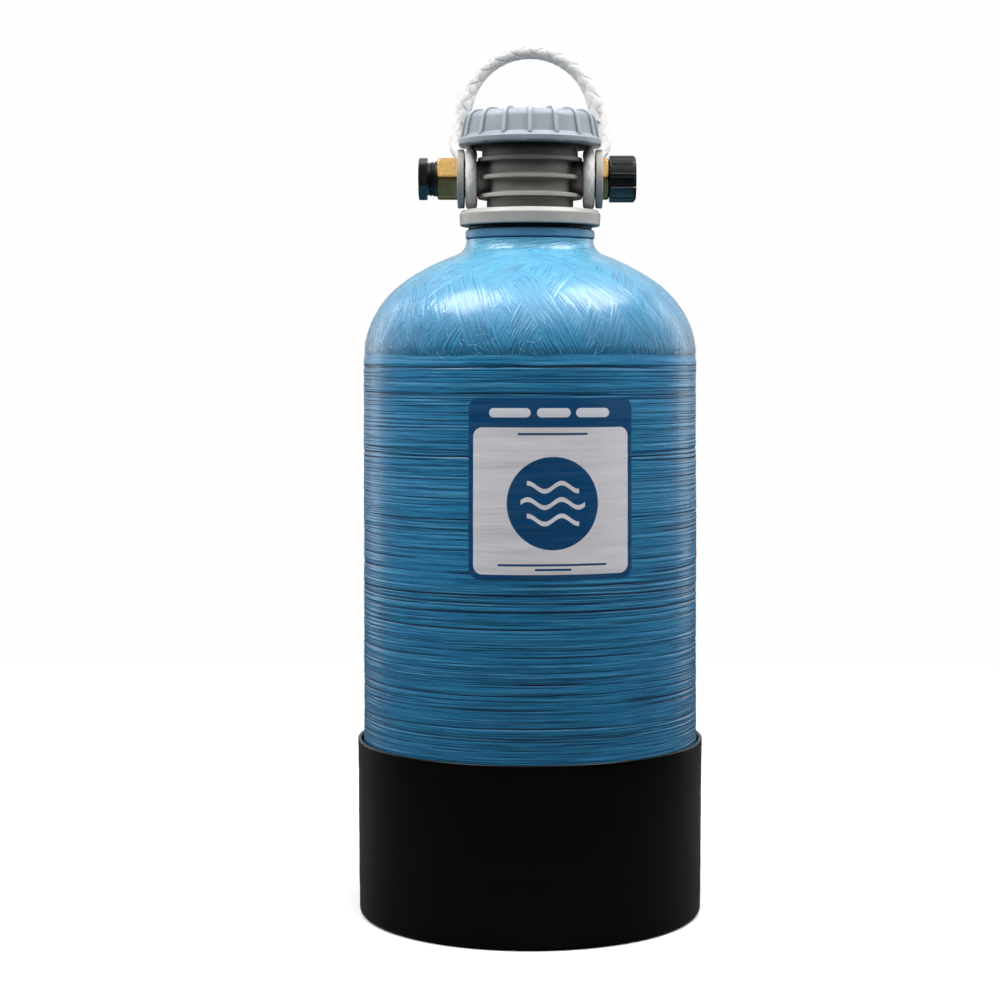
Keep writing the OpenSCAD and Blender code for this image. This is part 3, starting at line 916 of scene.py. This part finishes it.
# ---------------------------------------------------------------- neck, head and cap

HEAD_R = HEAD_HIGH[1]
DRUM_R = HEAD_R - 18.9
FIN_R = HEAD_R - 12.7
FLANGE_Z = NECK_HIGH[2] + 3
FLANGE_TOP = FLANGE_Z + 10.7
FINS = [PORT_Z - 14, PORT_Z - 1.4, PORT_Z + 11.2]
FIN_H = 3.1
BOSS_R = 12.4
DISC_R = 20.5
CAP_PITCH = 3.6
HOSE_PITCH = 2.2


def neck_collar():
    """Blue threaded insert whose collar shows above the winding."""
    top = NECK_HIGH[2]
    collar_r = TANK_R - 70.1
    bore, shank_r, flange_r = 36.3, 39, 45.5
    flange_top = NECK_LOW[2] + 4.9
    outline = rounded([
        (bore, NECK_LOW[2], 0.3), (flange_r, NECK_LOW[2], 0.4), (flange_r, flange_top, 0.4),
        (shank_r, flange_top, 0.3), (shank_r, top - 6.1, 0.3), (collar_r - 0.7, top - 6.1, 0.5),
        (collar_r, top - 5.2, 0.4), (collar_r, top - 1.0, 0.8), (collar_r - 0.9, top, 0.5),
        (bore, top, 0.3)], closed=True)
    outline = densified(outline, 2.5, closed=True)
    angle = turns(240)
    rng = np.random.default_rng(8)
    ripple = 0.05 * drift(rng, outline[:, 1] % 1, angle / TAU, 3, 12)
    shell = Shell()
    shell.ring(lathe(outline, angle, ripple), closed_rows=True)
    look = plastic("collar_plastic", (0.070, 0.215, 0.370), (0.120, 0.290, 0.450), 0.34, 0.03)
    shell.piece("neck_collar", "tank", ["neck_fitting"], look)


def seal(name, node, body):
    """A round sealing ring where the CAD has one."""
    low, high = span(node)
    section = (high[2] - low[2]) / 2 * 0.99
    outline = arc_points(high[0] - section, (high[2] + low[2]) / 2, section, 0, 360, 21)[:-1]
    shell = Shell()
    shell.ring(lathe(outline, turns(180)), closed_rows=True)
    shell.piece(name, body, [node], RUBBER)


def head():
    """One grey moulding: plain lower spigot, flange, finned drum, two bosses with discs, cap thread."""
    bore = 27
    thread_root = CAP_HIGH[0] - 10.9
    rim_z = CAP_LOW[2]
    corners = [(bore, HEAD_LOW[2], 0.4), (34.6, HEAD_LOW[2], 0.8), (36, HEAD_LOW[2] + 2, 0.6),
               (36, FLANGE_Z, 0.2), (HEAD_R - 0.5, FLANGE_Z, 0.8), (HEAD_R, FLANGE_TOP - 2.9, 1.4),
               (HEAD_R - 2.1, FLANGE_TOP, 1.2), (DRUM_R, FLANGE_TOP + 0.3, 1.4)]
    for z in FINS:
        corners += [(DRUM_R, z - 0.3, 1.4), (FIN_R, z + 0.2, 0.5), (FIN_R, z + FIN_H - 0.2, 0.5),
                    (DRUM_R, z + FIN_H + 0.3, 1.4)]
    neck_r = DRUM_R + 3.2
    corners[-1:] = [(neck_r, FINS[-1] + FIN_H + 0.2, 0.7), (neck_r, rim_z, 0.3), (thread_root, rim_z, 0.3),
                    (thread_root, HEAD_HIGH[2], 1.0), (bore, HEAD_HIGH[2], 0.8)]
    outline = densified(rounded(corners, closed=True), 0.55, closed=True)
    keep = np.ones(len(outline), bool)
    inner = outline[:, 0] < bore + 0.05
    keep[np.flatnonzero(inner)[1:-1:2]] = False
    outline = outline[keep]
    angle = turns(300)
    r, z = outline.T
    on_thread = (r > thread_root - 0.05) & (z > rim_z + 0.2)
    fade = smooth((z - rim_z - 0.8) / 1.5) * smooth((HEAD_HIGH[2] - 0.6 - z) / 1.5)
    wave = thread_wave(outline[:, 1:], angle[None, :], CAP_PITCH)
    shell = Shell()
    shell.ring(lathe(outline, angle, 1.4 * wave * (fade * on_thread)[:, None]), closed_rows=True)
    for side in (-1, 1):
        head_boss(shell, side)
    # Painted shade in the corners and a painted shadow just below the cap's rim.
    look = plastic("head_plastic", (0.375, 0.362, 0.340), (0.440, 0.428, 0.405), 0.42, 0.03,
                   corner_shade=0.93, reach=11, overhang_shadow_z=rim_z)
    shell.piece("head_moulding", "tank", ["head_body"], look, 30)


def head_boss(shell, side):
    """A port boss that flares into the drum, with its disc and bore. side is 1 for +X."""
    flare = 2.4
    within = 20
    face = HEAD_HIGH[0]
    bore = 10.8
    angle = turns(160)
    bend = np.linspace(0, 1, 8)[:, None] * math.pi / 2
    flare_r = BOSS_R + flare * (1 - np.sin(bend))
    drum_x = np.sqrt(DRUM_R**2 - (flare_r * np.cos(angle)) ** 2)
    flare_x = drum_x + flare * (1 - np.cos(bend)) - 0.05
    outline = rounded([
        (BOSS_R, 37, 0), (BOSS_R, face - 4.5, 1.6), (DISC_R - 0.3, face - 4.6, 0.5),
        (DISC_R, face - 0.6, 0.4), (DISC_R - 0.6, face, 0.3), (bore, face, 0.4), (bore, within, 0)])
    outline = densified(outline, 1.2)
    root = np.full((1, len(angle)), BOSS_R + flare)
    radius = np.concatenate([root, flare_r + 0 * angle, outline[:, :1] + 0 * angle])
    along = np.concatenate([0 * root + within, flare_x, outline[:, 1:] + 0 * angle])
    shell.ring(around_x(radius, side * along, angle), closed_rows=True)


def cap():
    """Ribbed screw cap. Each rib keeps its width as it climbs over the shoulder."""
    rng = np.random.default_rng(4)
    ribs = 16
    rim_r = CAP_HIGH[0]
    z0 = CAP_LOW[2]
    top = CAP_HIGH[2] - 2.1
    inner_r = rim_r - 9.15
    roof = top - 3.7
    wall_r = 46.0
    rib_h = 2.1
    corners = [(0.4, roof, 0), (inner_r, roof, 1.5), (inner_r, z0, 0.3), (rim_r - 0.8, z0 - 0.1, 0.3),
               (rim_r - 0.1, z0 + 0.9, 0.5), (rim_r, z0 + 4.0, 0.9), (wall_r + 0.7, z0 + 6.3, 0.8),
               (wall_r, z0 + 7.2, 1.0), (wall_r - 3, top, 6.6), (0.4, top + 0.05, 0)]
    outline = densified(rounded(corners, steps=12), 0.75)
    r, z = outline.T
    lengths = lengths_along(outline)
    past_rim = lengths > lengths[np.argmin(np.abs(z - z0 - 0.5))]
    outside = (z > z0 + 4.5) & past_rim
    foot = np.clip((wall_r + rib_h - r) / rib_h, 0, 1)
    low = z < z0 + 9
    normal = np.where(low[:, None], [[1.0, 0.0]], outward(outline))
    tip_r = 31
    tip = np.sqrt(np.clip(1 - np.clip((tip_r + 2.5 - r) / 2.5, 0, 1) ** 2, 0, 1))
    strength = outside * foot * tip
    width = np.array([0, 0.5, 0.85, 1.1, 1.28, 1.4, 1.5, 1.66, 2.0])
    height = rib_h * np.array([1, 1, 0.965, 0.87, 0.73, 0.51, 0.26, 0.07, 0])
    spread = np.linspace(0, 1, 7)[1:-1]
    half = math.pi / ribs
    mapped_r = np.clip(r, 26, None)[:, None]
    near = width[None, :] / mapped_r
    far = near[:, -1:] + (half - near[:, -1:]) * spread[None, :]
    step = np.concatenate([near, far], 1)
    lift = np.concatenate([height, 0 * spread])
    one = np.concatenate([-step[:, :0:-1], step, np.full((len(outline), 1), half)], 1)
    lift = np.concatenate([lift[:0:-1], lift, [0]])
    angle = np.concatenate([one + k * 2 * half for k in range(ribs)], 1)
    rise = strength[:, None] * np.tile(lift, ribs)[None, :]
    crest = np.concatenate([(rise / rib_h).ravel(), [0, 0]])
    flash = np.exp(-(((z - z0 - 0.15) / 0.35) ** 2)) * (r > rim_r - 1.6)
    ragged = np.clip(drift(rng, [0.5], angle[0] / TAU % 1, 4, 70), 0, 1) * 0.45
    rise = rise + flash[:, None] * ragged
    radius = outline[:, :1] + rise * normal[:, :1]
    level = outline[:, 1:] + rise * normal[:, 1:] - 0.5 * flash[:, None] * ragged
    shell = Shell()
    shell.ring(around_z(radius, level, angle))
    # Painted shade in corners and on rib flanks; rib crests lighter, partly wear and partly a painted
    # highlight.
    look = plastic("cap_plastic", (0.235, 0.265, 0.305), (0.285, 0.316, 0.356), 0.40, 0.03,
                   corner_shade=0.8, reach=5, wear_and_highlight=(0.37, 0.41, 0.455))
    shell.piece("cap_ribbed", "cap", ["cap"], look, 50, {"crest": crest})


# ---------------------------------------------------------------- ports

WATERWAY_R = 7.6


def hexagon(angle, flats, corner):
    """Radius of a hexagon across flats, with one slightly rounded corner at an angle."""
    fold = (angle - corner + TAU / 12) % (TAU / 6) - TAU / 12
    fold = TAU / 12 - np.abs(fold)
    return soft_min(flats / 2 / np.cos(fold), flats / 2 * 1.135, 0.9)


def brass_fitting(outer, inner, tail, wall, threads=False):
    """A brass hexagon on the port line, bevelled at its outer end, with a tail and a bore.

    outer, inner and tail are x positions going towards the tank. wall is the bore's outline as
    (radius, x) pairs from the outer end inwards. threads cuts a thread in the bore's outer part.
    """
    side = np.sign(outer)
    flats = 28
    angle = turns(360)
    shape = rounded([
        (wall[0][0], abs(outer), 0), (flats / 2 - 1.5, abs(outer), 0.3),
        (flats / 2 + 2.6, abs(outer) - 1.8, 0), (flats / 2 + 2.6, abs(inner), 0)])
    shape = densified(shape, 0.8)
    hexed = soft_min(hexagon(angle, flats, 0)[None, :], shape[:, :1], 0.5)
    tail_r = 10.6
    rest = [(tail_r, abs(inner)), (tail_r, abs(tail))] + [(r, abs(x)) for r, x in wall[::-1]]
    rest = densified(np.array(rest, float), 0.5)
    radius = np.concatenate([hexed, rest[:, :1] + 0 * angle])
    along = np.concatenate([shape[:, 1:], rest[:, 1:]])
    if threads:
        threaded = (np.arange(len(radius)) > len(shape) + 5)[:, None]
        threaded = threaded & (along > abs(wall[1][1]) + 0.4) & (along < abs(outer) - 0.2)
        radius = radius + 0.85 * threaded * thread_wave(along, angle[None, :], HOSE_PITCH)
    shell = Shell()
    shell.ring(around_x(radius, side * along, angle), closed_rows=True)
    return shell


def outlet_adapter():
    outer, inner = OUTLET_LOW[0], -HEAD_HIGH[0] - 0.06
    seat = -52
    wall = [(11.45, outer), (11.45, seat), (WATERWAY_R, seat), (WATERWAY_R, OUTLET_HIGH[0])]
    shell = brass_fitting(outer, inner, OUTLET_HIGH[0], wall, threads=True)
    shell.piece("brass_outlet", "tank", ["outlet_adapter"], BRASS, 30)


def inlet_adapter():
    outer, inner = NUT_LOW[0] - 0.1, HEAD_HIGH[0] + 0.06
    wall = [(WATERWAY_R, outer), (WATERWAY_R, INLET_LOW[0])]
    shell = brass_fitting(outer, inner, INLET_LOW[0], wall)
    end = INLET_HIGH[0]
    tail_r, lip_r, lip = 10.2, 11.9, end - 2.7
    tail = rounded([
        (WATERWAY_R, outer - 1, 0), (tail_r, outer - 1, 0), (tail_r, lip, 0.3), (lip_r, lip, 0.3),
        (lip_r, end, 0.5), (WATERWAY_R, end, 0.4)], closed=True)
    shell.ring(around_x(tail[:, :1], tail[:, 1:], turns(160)), closed_rows=True)
    shell.piece("brass_inlet", "tank", ["inlet_adapter"], BRASS, 30)


def swivel_nut():
    """Black hose nut with ten ribs, a thin flange towards the tank and a threaded bore."""
    left, right = NUT_LOW[0], NUT_HIGH[0]
    ribs = 10
    outer_r = NUT_HIGH[1]
    body_r = outer_r - 0.75
    mouth = 13.65
    seat = left + 9.5
    tail_r, washer_r = 10.55, 12.95
    back = left + 3.8
    outline = rounded([
        (tail_r, left, 0.2), (outer_r, left, 0.15), (outer_r, left + 0.8, 0.15), (body_r, left + 0.95, 0.1),
        (body_r, right - 1.7, 0.5), (body_r - 1.55, right, 0.4), (mouth, right, 0.2), (mouth, seat, 0.1),
        (washer_r, seat, 0.1), (washer_r, back, 0.2), (tail_r, back, 0.2)], closed=True)
    outline = densified(outline, 0.5, closed=True)
    angle = turns(400)
    first = math.radians(5)
    apart = (angle - first + math.pi / ribs) % (TAU / ribs) - math.pi / ribs
    rib = smooth((1.7 - np.abs(apart) * outer_r) / 0.45)
    r, x = outline.T
    on_ribs = (r > body_r - 1.6) & (x > left + 0.9)
    fade = on_ribs * (0.78 - 0.28 * smooth((x - right + 1.8) / 1.8))
    threaded = (r > 13.2) & (r < mouth + 0.05)
    threaded = threaded * smooth((x - seat - 0.2) / 0.8) * smooth((right - 0.3 - x) / 0.8)
    wave = thread_wave(outline[:, 1:], -angle[None, :], HOSE_PITCH)
    radius = outline[:, :1] + fade[:, None] * rib - 0.75 * threaded[:, None] * wave
    shell = Shell()
    shell.ring(around_x(radius, outline[:, 1:], angle), closed_rows=True)
    edge = np.exp(-(((np.abs(apart) * outer_r - 1.45) / 0.24) ** 2))
    crest = (fade[:, None] * edge).ravel()
    # Rib edges lighter, partly wear and partly a painted highlight, with painted shade beside them.
    look = black_gloss("nut_gloss", (0.13, 0.13, 0.135))
    shell.piece("swivel_nut", "nut", ["inlet_nut"], look, 30, {"crest": crest})


def outlet_plug():
    """Black plug: threaded shank and a hexagon head with a shallow dimple in its end."""
    outer, inner = -PLUG_LOW[0], -PLUG_HIGH[0]
    flats = 26.7
    corner = math.radians(39.7)
    face = outer - 5.9
    root = 11.25
    head_r = flats / 2 + 3
    dimple = outer - 0.8
    outline = rounded([
        (0.2, inner, 0), (root - 0.9, inner, 0), (root, inner + 0.9, 0.3), (root, face, 0),
        (head_r, face, 0), (head_r, outer - 0.9, 0), (flats / 2 + 0.2, outer, 0), (8.2, outer, 0.3),
        (7.4, dimple, 0.3), (0.2, dimple, 0)])
    outline = densified(outline, 0.45)
    angle = turns(360)
    hexed = soft_min(hexagon(angle, flats, corner)[None, :], outline[:, :1], 0.35)
    head = (outline[:, :1] > root + 0.02) & (outline[:, 1:] > face - 0.01)
    r, x = outline.T
    shank = (np.abs(r - root) < 0.05) & (x < face)
    fade = shank * smooth((x - inner - 1) / 1.2) * smooth((face - 1.6 - x) / 0.8)
    wave = thread_wave(outline[:, 1:], angle[None, :], HOSE_PITCH)
    radius = np.where(head, hexed, outline[:, :1]) + 0.88 * fade[:, None] * wave
    shell = Shell()
    shell.ring(around_x(radius, -outline[:, 1:], angle))
    shell.piece("outlet_plug_threaded", "plug", ["outlet_plug"], black_gloss("black_gloss"), 30)


# ---------------------------------------------------------------- rope

ROPE_R = 4.0
GRIP_R = 6.2
EYE_R = 17.8
EYE_X = 40.6
ARCH_R = 47.2
ARCH_Z = ROPE_TOP - 4.5 - ARCH_R
GRIP_Y = 38


def curve(points, step):
    """A smooth curve through points, sampled a step apart."""
    points = np.array(points, float)
    ends = np.concatenate([[2 * points[0] - points[1]], points, [2 * points[-1] - points[-2]]])
    parts = []
    for p0, p1, p2, p3 in zip(ends, ends[1:], ends[2:], ends[3:]):
        t = np.linspace(0, 1, 24, endpoint=False)[:, None]
        parts.append(0.5 * (2 * p1 + (p2 - p0) * t + (2 * p0 - 5 * p1 + 4 * p2 - p3) * t**2
                            + (3 * p1 - p0 - 3 * p2 + p3) * t**3))
    parts.append(points[-1:])
    return evenly(np.concatenate(parts), step)


def braid(shell, path, radius, lay, marks, sides=10):
    """Eight flat strands plaited round a path over a plain core.

    radius may vary along the path. lay is the length of one full turn of a strand. marks
    collects the place round and along each strand, for the material.
    """
    _, side, up = frames(path)
    along = lengths_along(path)
    radius = np.broadcast_to(radius, along.shape)
    per_way = 4
    turn = turns(sides)
    thick = 0.26 * radius
    half_width = 0.58 * radius
    for way in (1, -1):
        for k in range(per_way):
            angle = way * TAU * along / lay + k * TAU / per_way
            over = way * np.cos(per_way * TAU * along / lay)
            middle = radius * (0.70 + 0.042 * over)
            out = np.cos(angle)[:, None] * side + np.sin(angle)[:, None] * up
            centre = path + middle[:, None] * out
            run = unit(np.gradient(centre, axis=0))
            wide = unit(np.cross(run, out))
            height = np.cross(wide, run)
            shell.ring(centre[:, None] + (
                half_width[:, None, None] * np.cos(turn)[None, :, None] * wide[:, None]
                + thick[:, None, None] * np.sin(turn)[None, :, None] * height[:, None]))
            length = np.broadcast_to((along + 37.3 * k + 11.1 * way)[:, None], (len(along), sides))
            marks.append(np.stack([np.broadcast_to(np.cos(turn), length.shape), length], -1).reshape(-1, 2))
            marks.append(np.array([[0, length[0, 0]], [0, length[-1, 0]]]))
    before = shell.count
    tube(shell, path, 0.79 * radius, 12)
    marks.append(np.ones((shell.count - before, 2)))


def rope_handle():
    """Braided rope: a loop round each boss, two legs behind the cap and a thick spliced grip."""
    rng = np.random.default_rng(9)
    shell, marks = Shell(), []
    paths = []
    for side in (-1, 1):
        inner_leg = [(ARCH_R - 1.6, GRIP_Y - 0.4, ARCH_Z + 4), (45.4, 37.9, 541), (44.8, 36.4, 529.5),
                     (42.6, 28.6, 520.6), (40.9, 15, 520.4)]
        loop = [(EYE_X, y, z) for y, z in arc_points(0, PORT_Z, EYE_R, 95, 365, 19)]
        outer_leg = [(42.0, 19.5, 512.5), (47.0, 28, 519.5), (53.0, 33.8, 529), (52.0, 36.6, 541),
                     (ARCH_R + 2.0, GRIP_Y + 0.4, ARCH_Z + 4)]
        points = [(side * x, y, z) for x, y, z in inner_leg + loop + outer_leg]
        path = curve(points, 0.8)
        braid(shell, path, ROPE_R, 36, marks)
        paths.append((path, ROPE_R))
    arch = [(x, GRIP_Y, z) for x, z in arc_points(0, ARCH_Z, ARCH_R, -4, 184, 60)]
    path = curve(arch, 1.0)
    ends = np.minimum(np.arange(len(path)), np.arange(len(path))[::-1])
    radius = GRIP_R * (0.80 + 0.20 * smooth(ends / 16))
    braid(shell, path, radius, 50, marks, 12)
    paths.append((path, GRIP_R))
    rope_fuzz(shell, paths, rng, marks)
    marks = np.concatenate(marks)
    fields = {"round": marks[:, 0], "along": marks[:, 1]}
    shell.piece("rope_braided", "handle", ["rope_handle"], rope_look(), 60, fields)


def rope_look():
    """Off-white fibre with yarns along each strand, painted shade at strand edges and on faces that point
    up.
    """
    look = Look("rope_fibre", (0.78, 0.78, 0.74), 0.8)
    yarn = look.noise(1, 3, 0.6, look.stretched((5, 0.30, 1), look.pair("round", "along")))
    fleck = look.ramp(look.noise(150, 3, 0.6), 0.60, 0.72)
    soil = look.ramp(look.noise(60, 3), 0.50, 0.80)
    tone = look.mix(look.ramp(yarn, 0.3, 0.7), (0.79, 0.78, 0.76), (0.89, 0.88, 0.86))
    # Painted shade at strand edges, where strands meet.
    edge = look.ramp(look.math("ABSOLUTE", look.field("round")), 0.55, 0.90, 0, 0.30)
    tone = look.mix(edge, tone, (0.60, 0.61, 0.62))
    # Painted shade on faces that point up.
    tone = look.mix(look.ramp(look.upward(), 0.0, 0.8, 0, 0.6), tone, (0.46, 0.455, 0.44))
    tone = look.mix(look.times(fleck, 0.35), tone, (0.80, 0.72, 0.45))
    tone = look.mix(look.times(soil, 0.15), tone, (0.60, 0.61, 0.60))
    return look.finish(Base_Color=tone, Normal=look.bump(yarn, 0.6 * MM), Sheen_Weight=0.25,
                       Sheen_Roughness=0.5, Specular_IOR_Level=0.2)


def rope_fuzz(shell, paths, rng, marks):
    """Short loose fibres standing out of the rope's surface."""
    for path, radius in paths:
        tangent, side, up = frames(path)
        for _ in range(int(len(path) * 0.3)):
            i = int(rng.integers(2, len(path) - 2))
            a = rng.uniform(0, TAU)
            out = math.cos(a) * side[i] + math.sin(a) * up[i]
            lean = tangent[i] * rng.normal(0, 0.8) + np.cross(out, tangent[i]) * rng.normal(0, 0.8)
            start = path[i] + out * radius * 0.86
            reach = rng.uniform(0.4, 0.9)
            t = np.linspace(0, 1, 4)[:, None]
            hair = start + t * reach * (out * 0.75 + lean * 0.6) + t**2 * reach * lean * 0.4
            before = shell.count
            tube(shell, hair, np.array([0.05, 0.045, 0.04, 0.02]), 3)
            marks.append(np.zeros((shell.count - before, 2)))


# ---------------------------------------------------------------- pieces that stay as CAD


def hidden_nodes():
    """Inner pieces keep their CAD shape and get a material each."""
    poly = Look("liner_plastic", (0.62, 0.64, 0.65), 0.45)
    tone = poly.mix(poly.ramp(poly.noise(40, 4), 0.35, 0.65), (0.58, 0.60, 0.62), (0.70, 0.71, 0.71))
    liner = poly.finish(Base_Color=tone, Normal=poly.bump(poly.noise(900, 2), 0.05 * MM))
    pipe = plastic("pipe_plastic", (0.74, 0.74, 0.70), (0.82, 0.82, 0.79), 0.35)
    beads = Look("resin_beads", (0.42, 0.20, 0.05), 0.25)
    cell = beads.node("ShaderNodeTexVoronoi", {"Vector": beads.place, "Scale": 1400.0}).outputs["Distance"]
    tone = beads.mix(beads.ramp(cell, 0.1, 0.7), (0.55, 0.28, 0.07), (0.16, 0.07, 0.02))
    resin = beads.finish(Base_Color=tone, Normal=beads.bump(beads.minus(1.0, cell), 0.4 * MM))
    looks = {"tank_liner": liner, "riser_tube": pipe, "lower_basket": pipe, "resin_bed": resin,
             "hose_washer": RUBBER, "plug_washer": RUBBER}
    for node, look in looks.items():
        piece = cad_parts[node]
        piece.data.materials.clear()
        piece.data.materials.append(look)


# ---------------------------------------------------------------- floor, light and camera


def studio():
    """Pale floor that fades into a pale surround, with soft light from above and both sides."""
    pale = (0.93, 0.93, 0.93)
    seen_glow = 1.07
    world = bpy.data.worlds.new("surround")
    bpy.context.scene.world = world
    world.use_nodes = True
    sky = Nodes(world.node_tree, "Generated")
    _, y, z = sky.split()
    sides = sky.ramp(y, -0.30, -0.15, 0.0, 0.18)
    back = sky.ramp(y, 0.05, 0.8, 0.0, 0.45)
    above = sky.ramp(z, 0.40, 0.85, 0.0, 0.75)
    level = sky.math("MAXIMUM", sky.math("ADD", sides, back), above)
    strength = sky.math("MAXIMUM", level, sky.times(sky.camera_ray(), seen_glow))
    sky.wire(world.node_tree.nodes["Background"], {"Color": pale, "Strength": strength})

    floor = Shell()
    radius = np.array([1, 200, 600, 1500, 4000, 9000])
    floor.ring(around_z(radius[:, None], -0.4, turns(96)), caps=False)
    paint = Look("floor_paint", pale, 0.7, Specular_IOR_Level=0.1)
    x, y, _ = paint.split()
    far = paint.ramp(paint.length(x, y), 0.35, 1.6)
    grain = paint.ramp(paint.noise(3), 0.3, 0.7)
    seen = paint.camera_ray()
    tone = paint.mix(seen, (0.06, 0.06, 0.06), paint.mix(grain, (0.86, 0.86, 0.86), (0.88, 0.88, 0.88)))
    paint.finish(Base_Color=tone)
    glow = paint.node("ShaderNodeEmission", {"Color": pale, "Strength": paint.times(seen, seen_glow)})
    blend = paint.node("ShaderNodeMixShader", {0: far, 1: paint.shader.outputs[0], 2: glow.outputs[0]})
    paint.tree.links.new(blend.outputs[0], paint.tree.nodes["Material Output"].inputs["Surface"])
    floor.solid("studio_floor", paint.material)

    soft_box("key", (0.12, -0.85, 1.75), (0, 0, 0.40), 1.0, 0.9, 15, False)
    soft_box("fill_left", (-1.5, -0.55, 1.1), (0, 0, 0.3), 0.8, 1.2, 10, False)
    soft_box("fill_right", (1.5, -0.55, 1.1), (0, 0, 0.3), 0.8, 1.2, 8, False)
    soft_box("top_left", (-0.80, -0.18, 1.75), (0, 0, 0.42), 0.8, 0.8, 18.5, True)
    soft_box("top_right", (0.72, -0.10, 1.75), (0, 0, 0.42), 0.8, 0.8, 18.5, True)
    soft_box("side_left", (-1.3, 1.05, 0.6), (0, 0, 0.3), 0.5, 1.6, 3.5, True)
    soft_box("side_right", (1.3, 1.05, 0.6), (0, 0, 0.3), 0.5, 1.6, 3.5, True)


def soft_box(name, place, target, width, height, power, mirrored):
    """An area light aimed at a target. Unless mirrored, it leaves no reflection of itself."""
    lamp = bpy.data.lights.new(name, "AREA")
    lamp.shape = "RECTANGLE"
    lamp.size, lamp.size_y = width, height
    lamp.energy = power
    holder = bpy.data.objects.new(name, lamp)
    bpy.context.scene.collection.objects.link(holder)
    holder.location = place
    holder.visible_glossy = mirrored
    aim = np.array(target, float) - np.array(place, float)
    holder.rotation_euler = Vector(aim).to_track_quat("-Z", "Y").to_euler()


def camera():
    """A level camera in front of the tank, with the lens shifted down to frame it.

    The shift holds only at this height, so a camera moved for another view sees straight ahead.
    """
    data = bpy.data.cameras.new("camera")
    eye = bpy.data.objects.new("camera", data)
    bpy.context.scene.collection.objects.link(eye)
    distance = 1.547
    height = 0.3807
    width_seen = 0.693
    data.sensor_width = 36
    data.lens = 36 * distance / width_seen
    data.clip_start, data.clip_end = 0.05, 50
    eye.location = (0, -distance, height)
    eye.rotation_euler = (math.pi / 2, 0, 0)
    for setting, amount in (("shift_x", -0.03), ("shift_y", -0.143)):
        shift = data.driver_add(setting).driver
        level = shift.variables.new()
        level.name = "level"
        level.targets[0].id = eye
        level.targets[0].data_path = "location.z"
        shift.expression = f"{amount} if abs(level - {height}) < 0.001 else 0"
    bpy.context.scene.camera = eye


RUBBER = rubber()
BRASS = brass()

helical_skin()
label(*hoop_skin())
stray_fibres()
boot()
neck_collar()
seal("collar_seal", "neck_oring", "tank")
head()
cap()
seal("cap_seal_ring", "cap_oring", "cap_seal")
seal("riser_seal_ring", "riser_oring", "tank")
outlet_adapter()
inlet_adapter()
swivel_nut()
outlet_plug()
rope_handle()
hidden_nodes()
studio()
camera()
bpy.context.scene.view_settings.view_transform = "Standard"
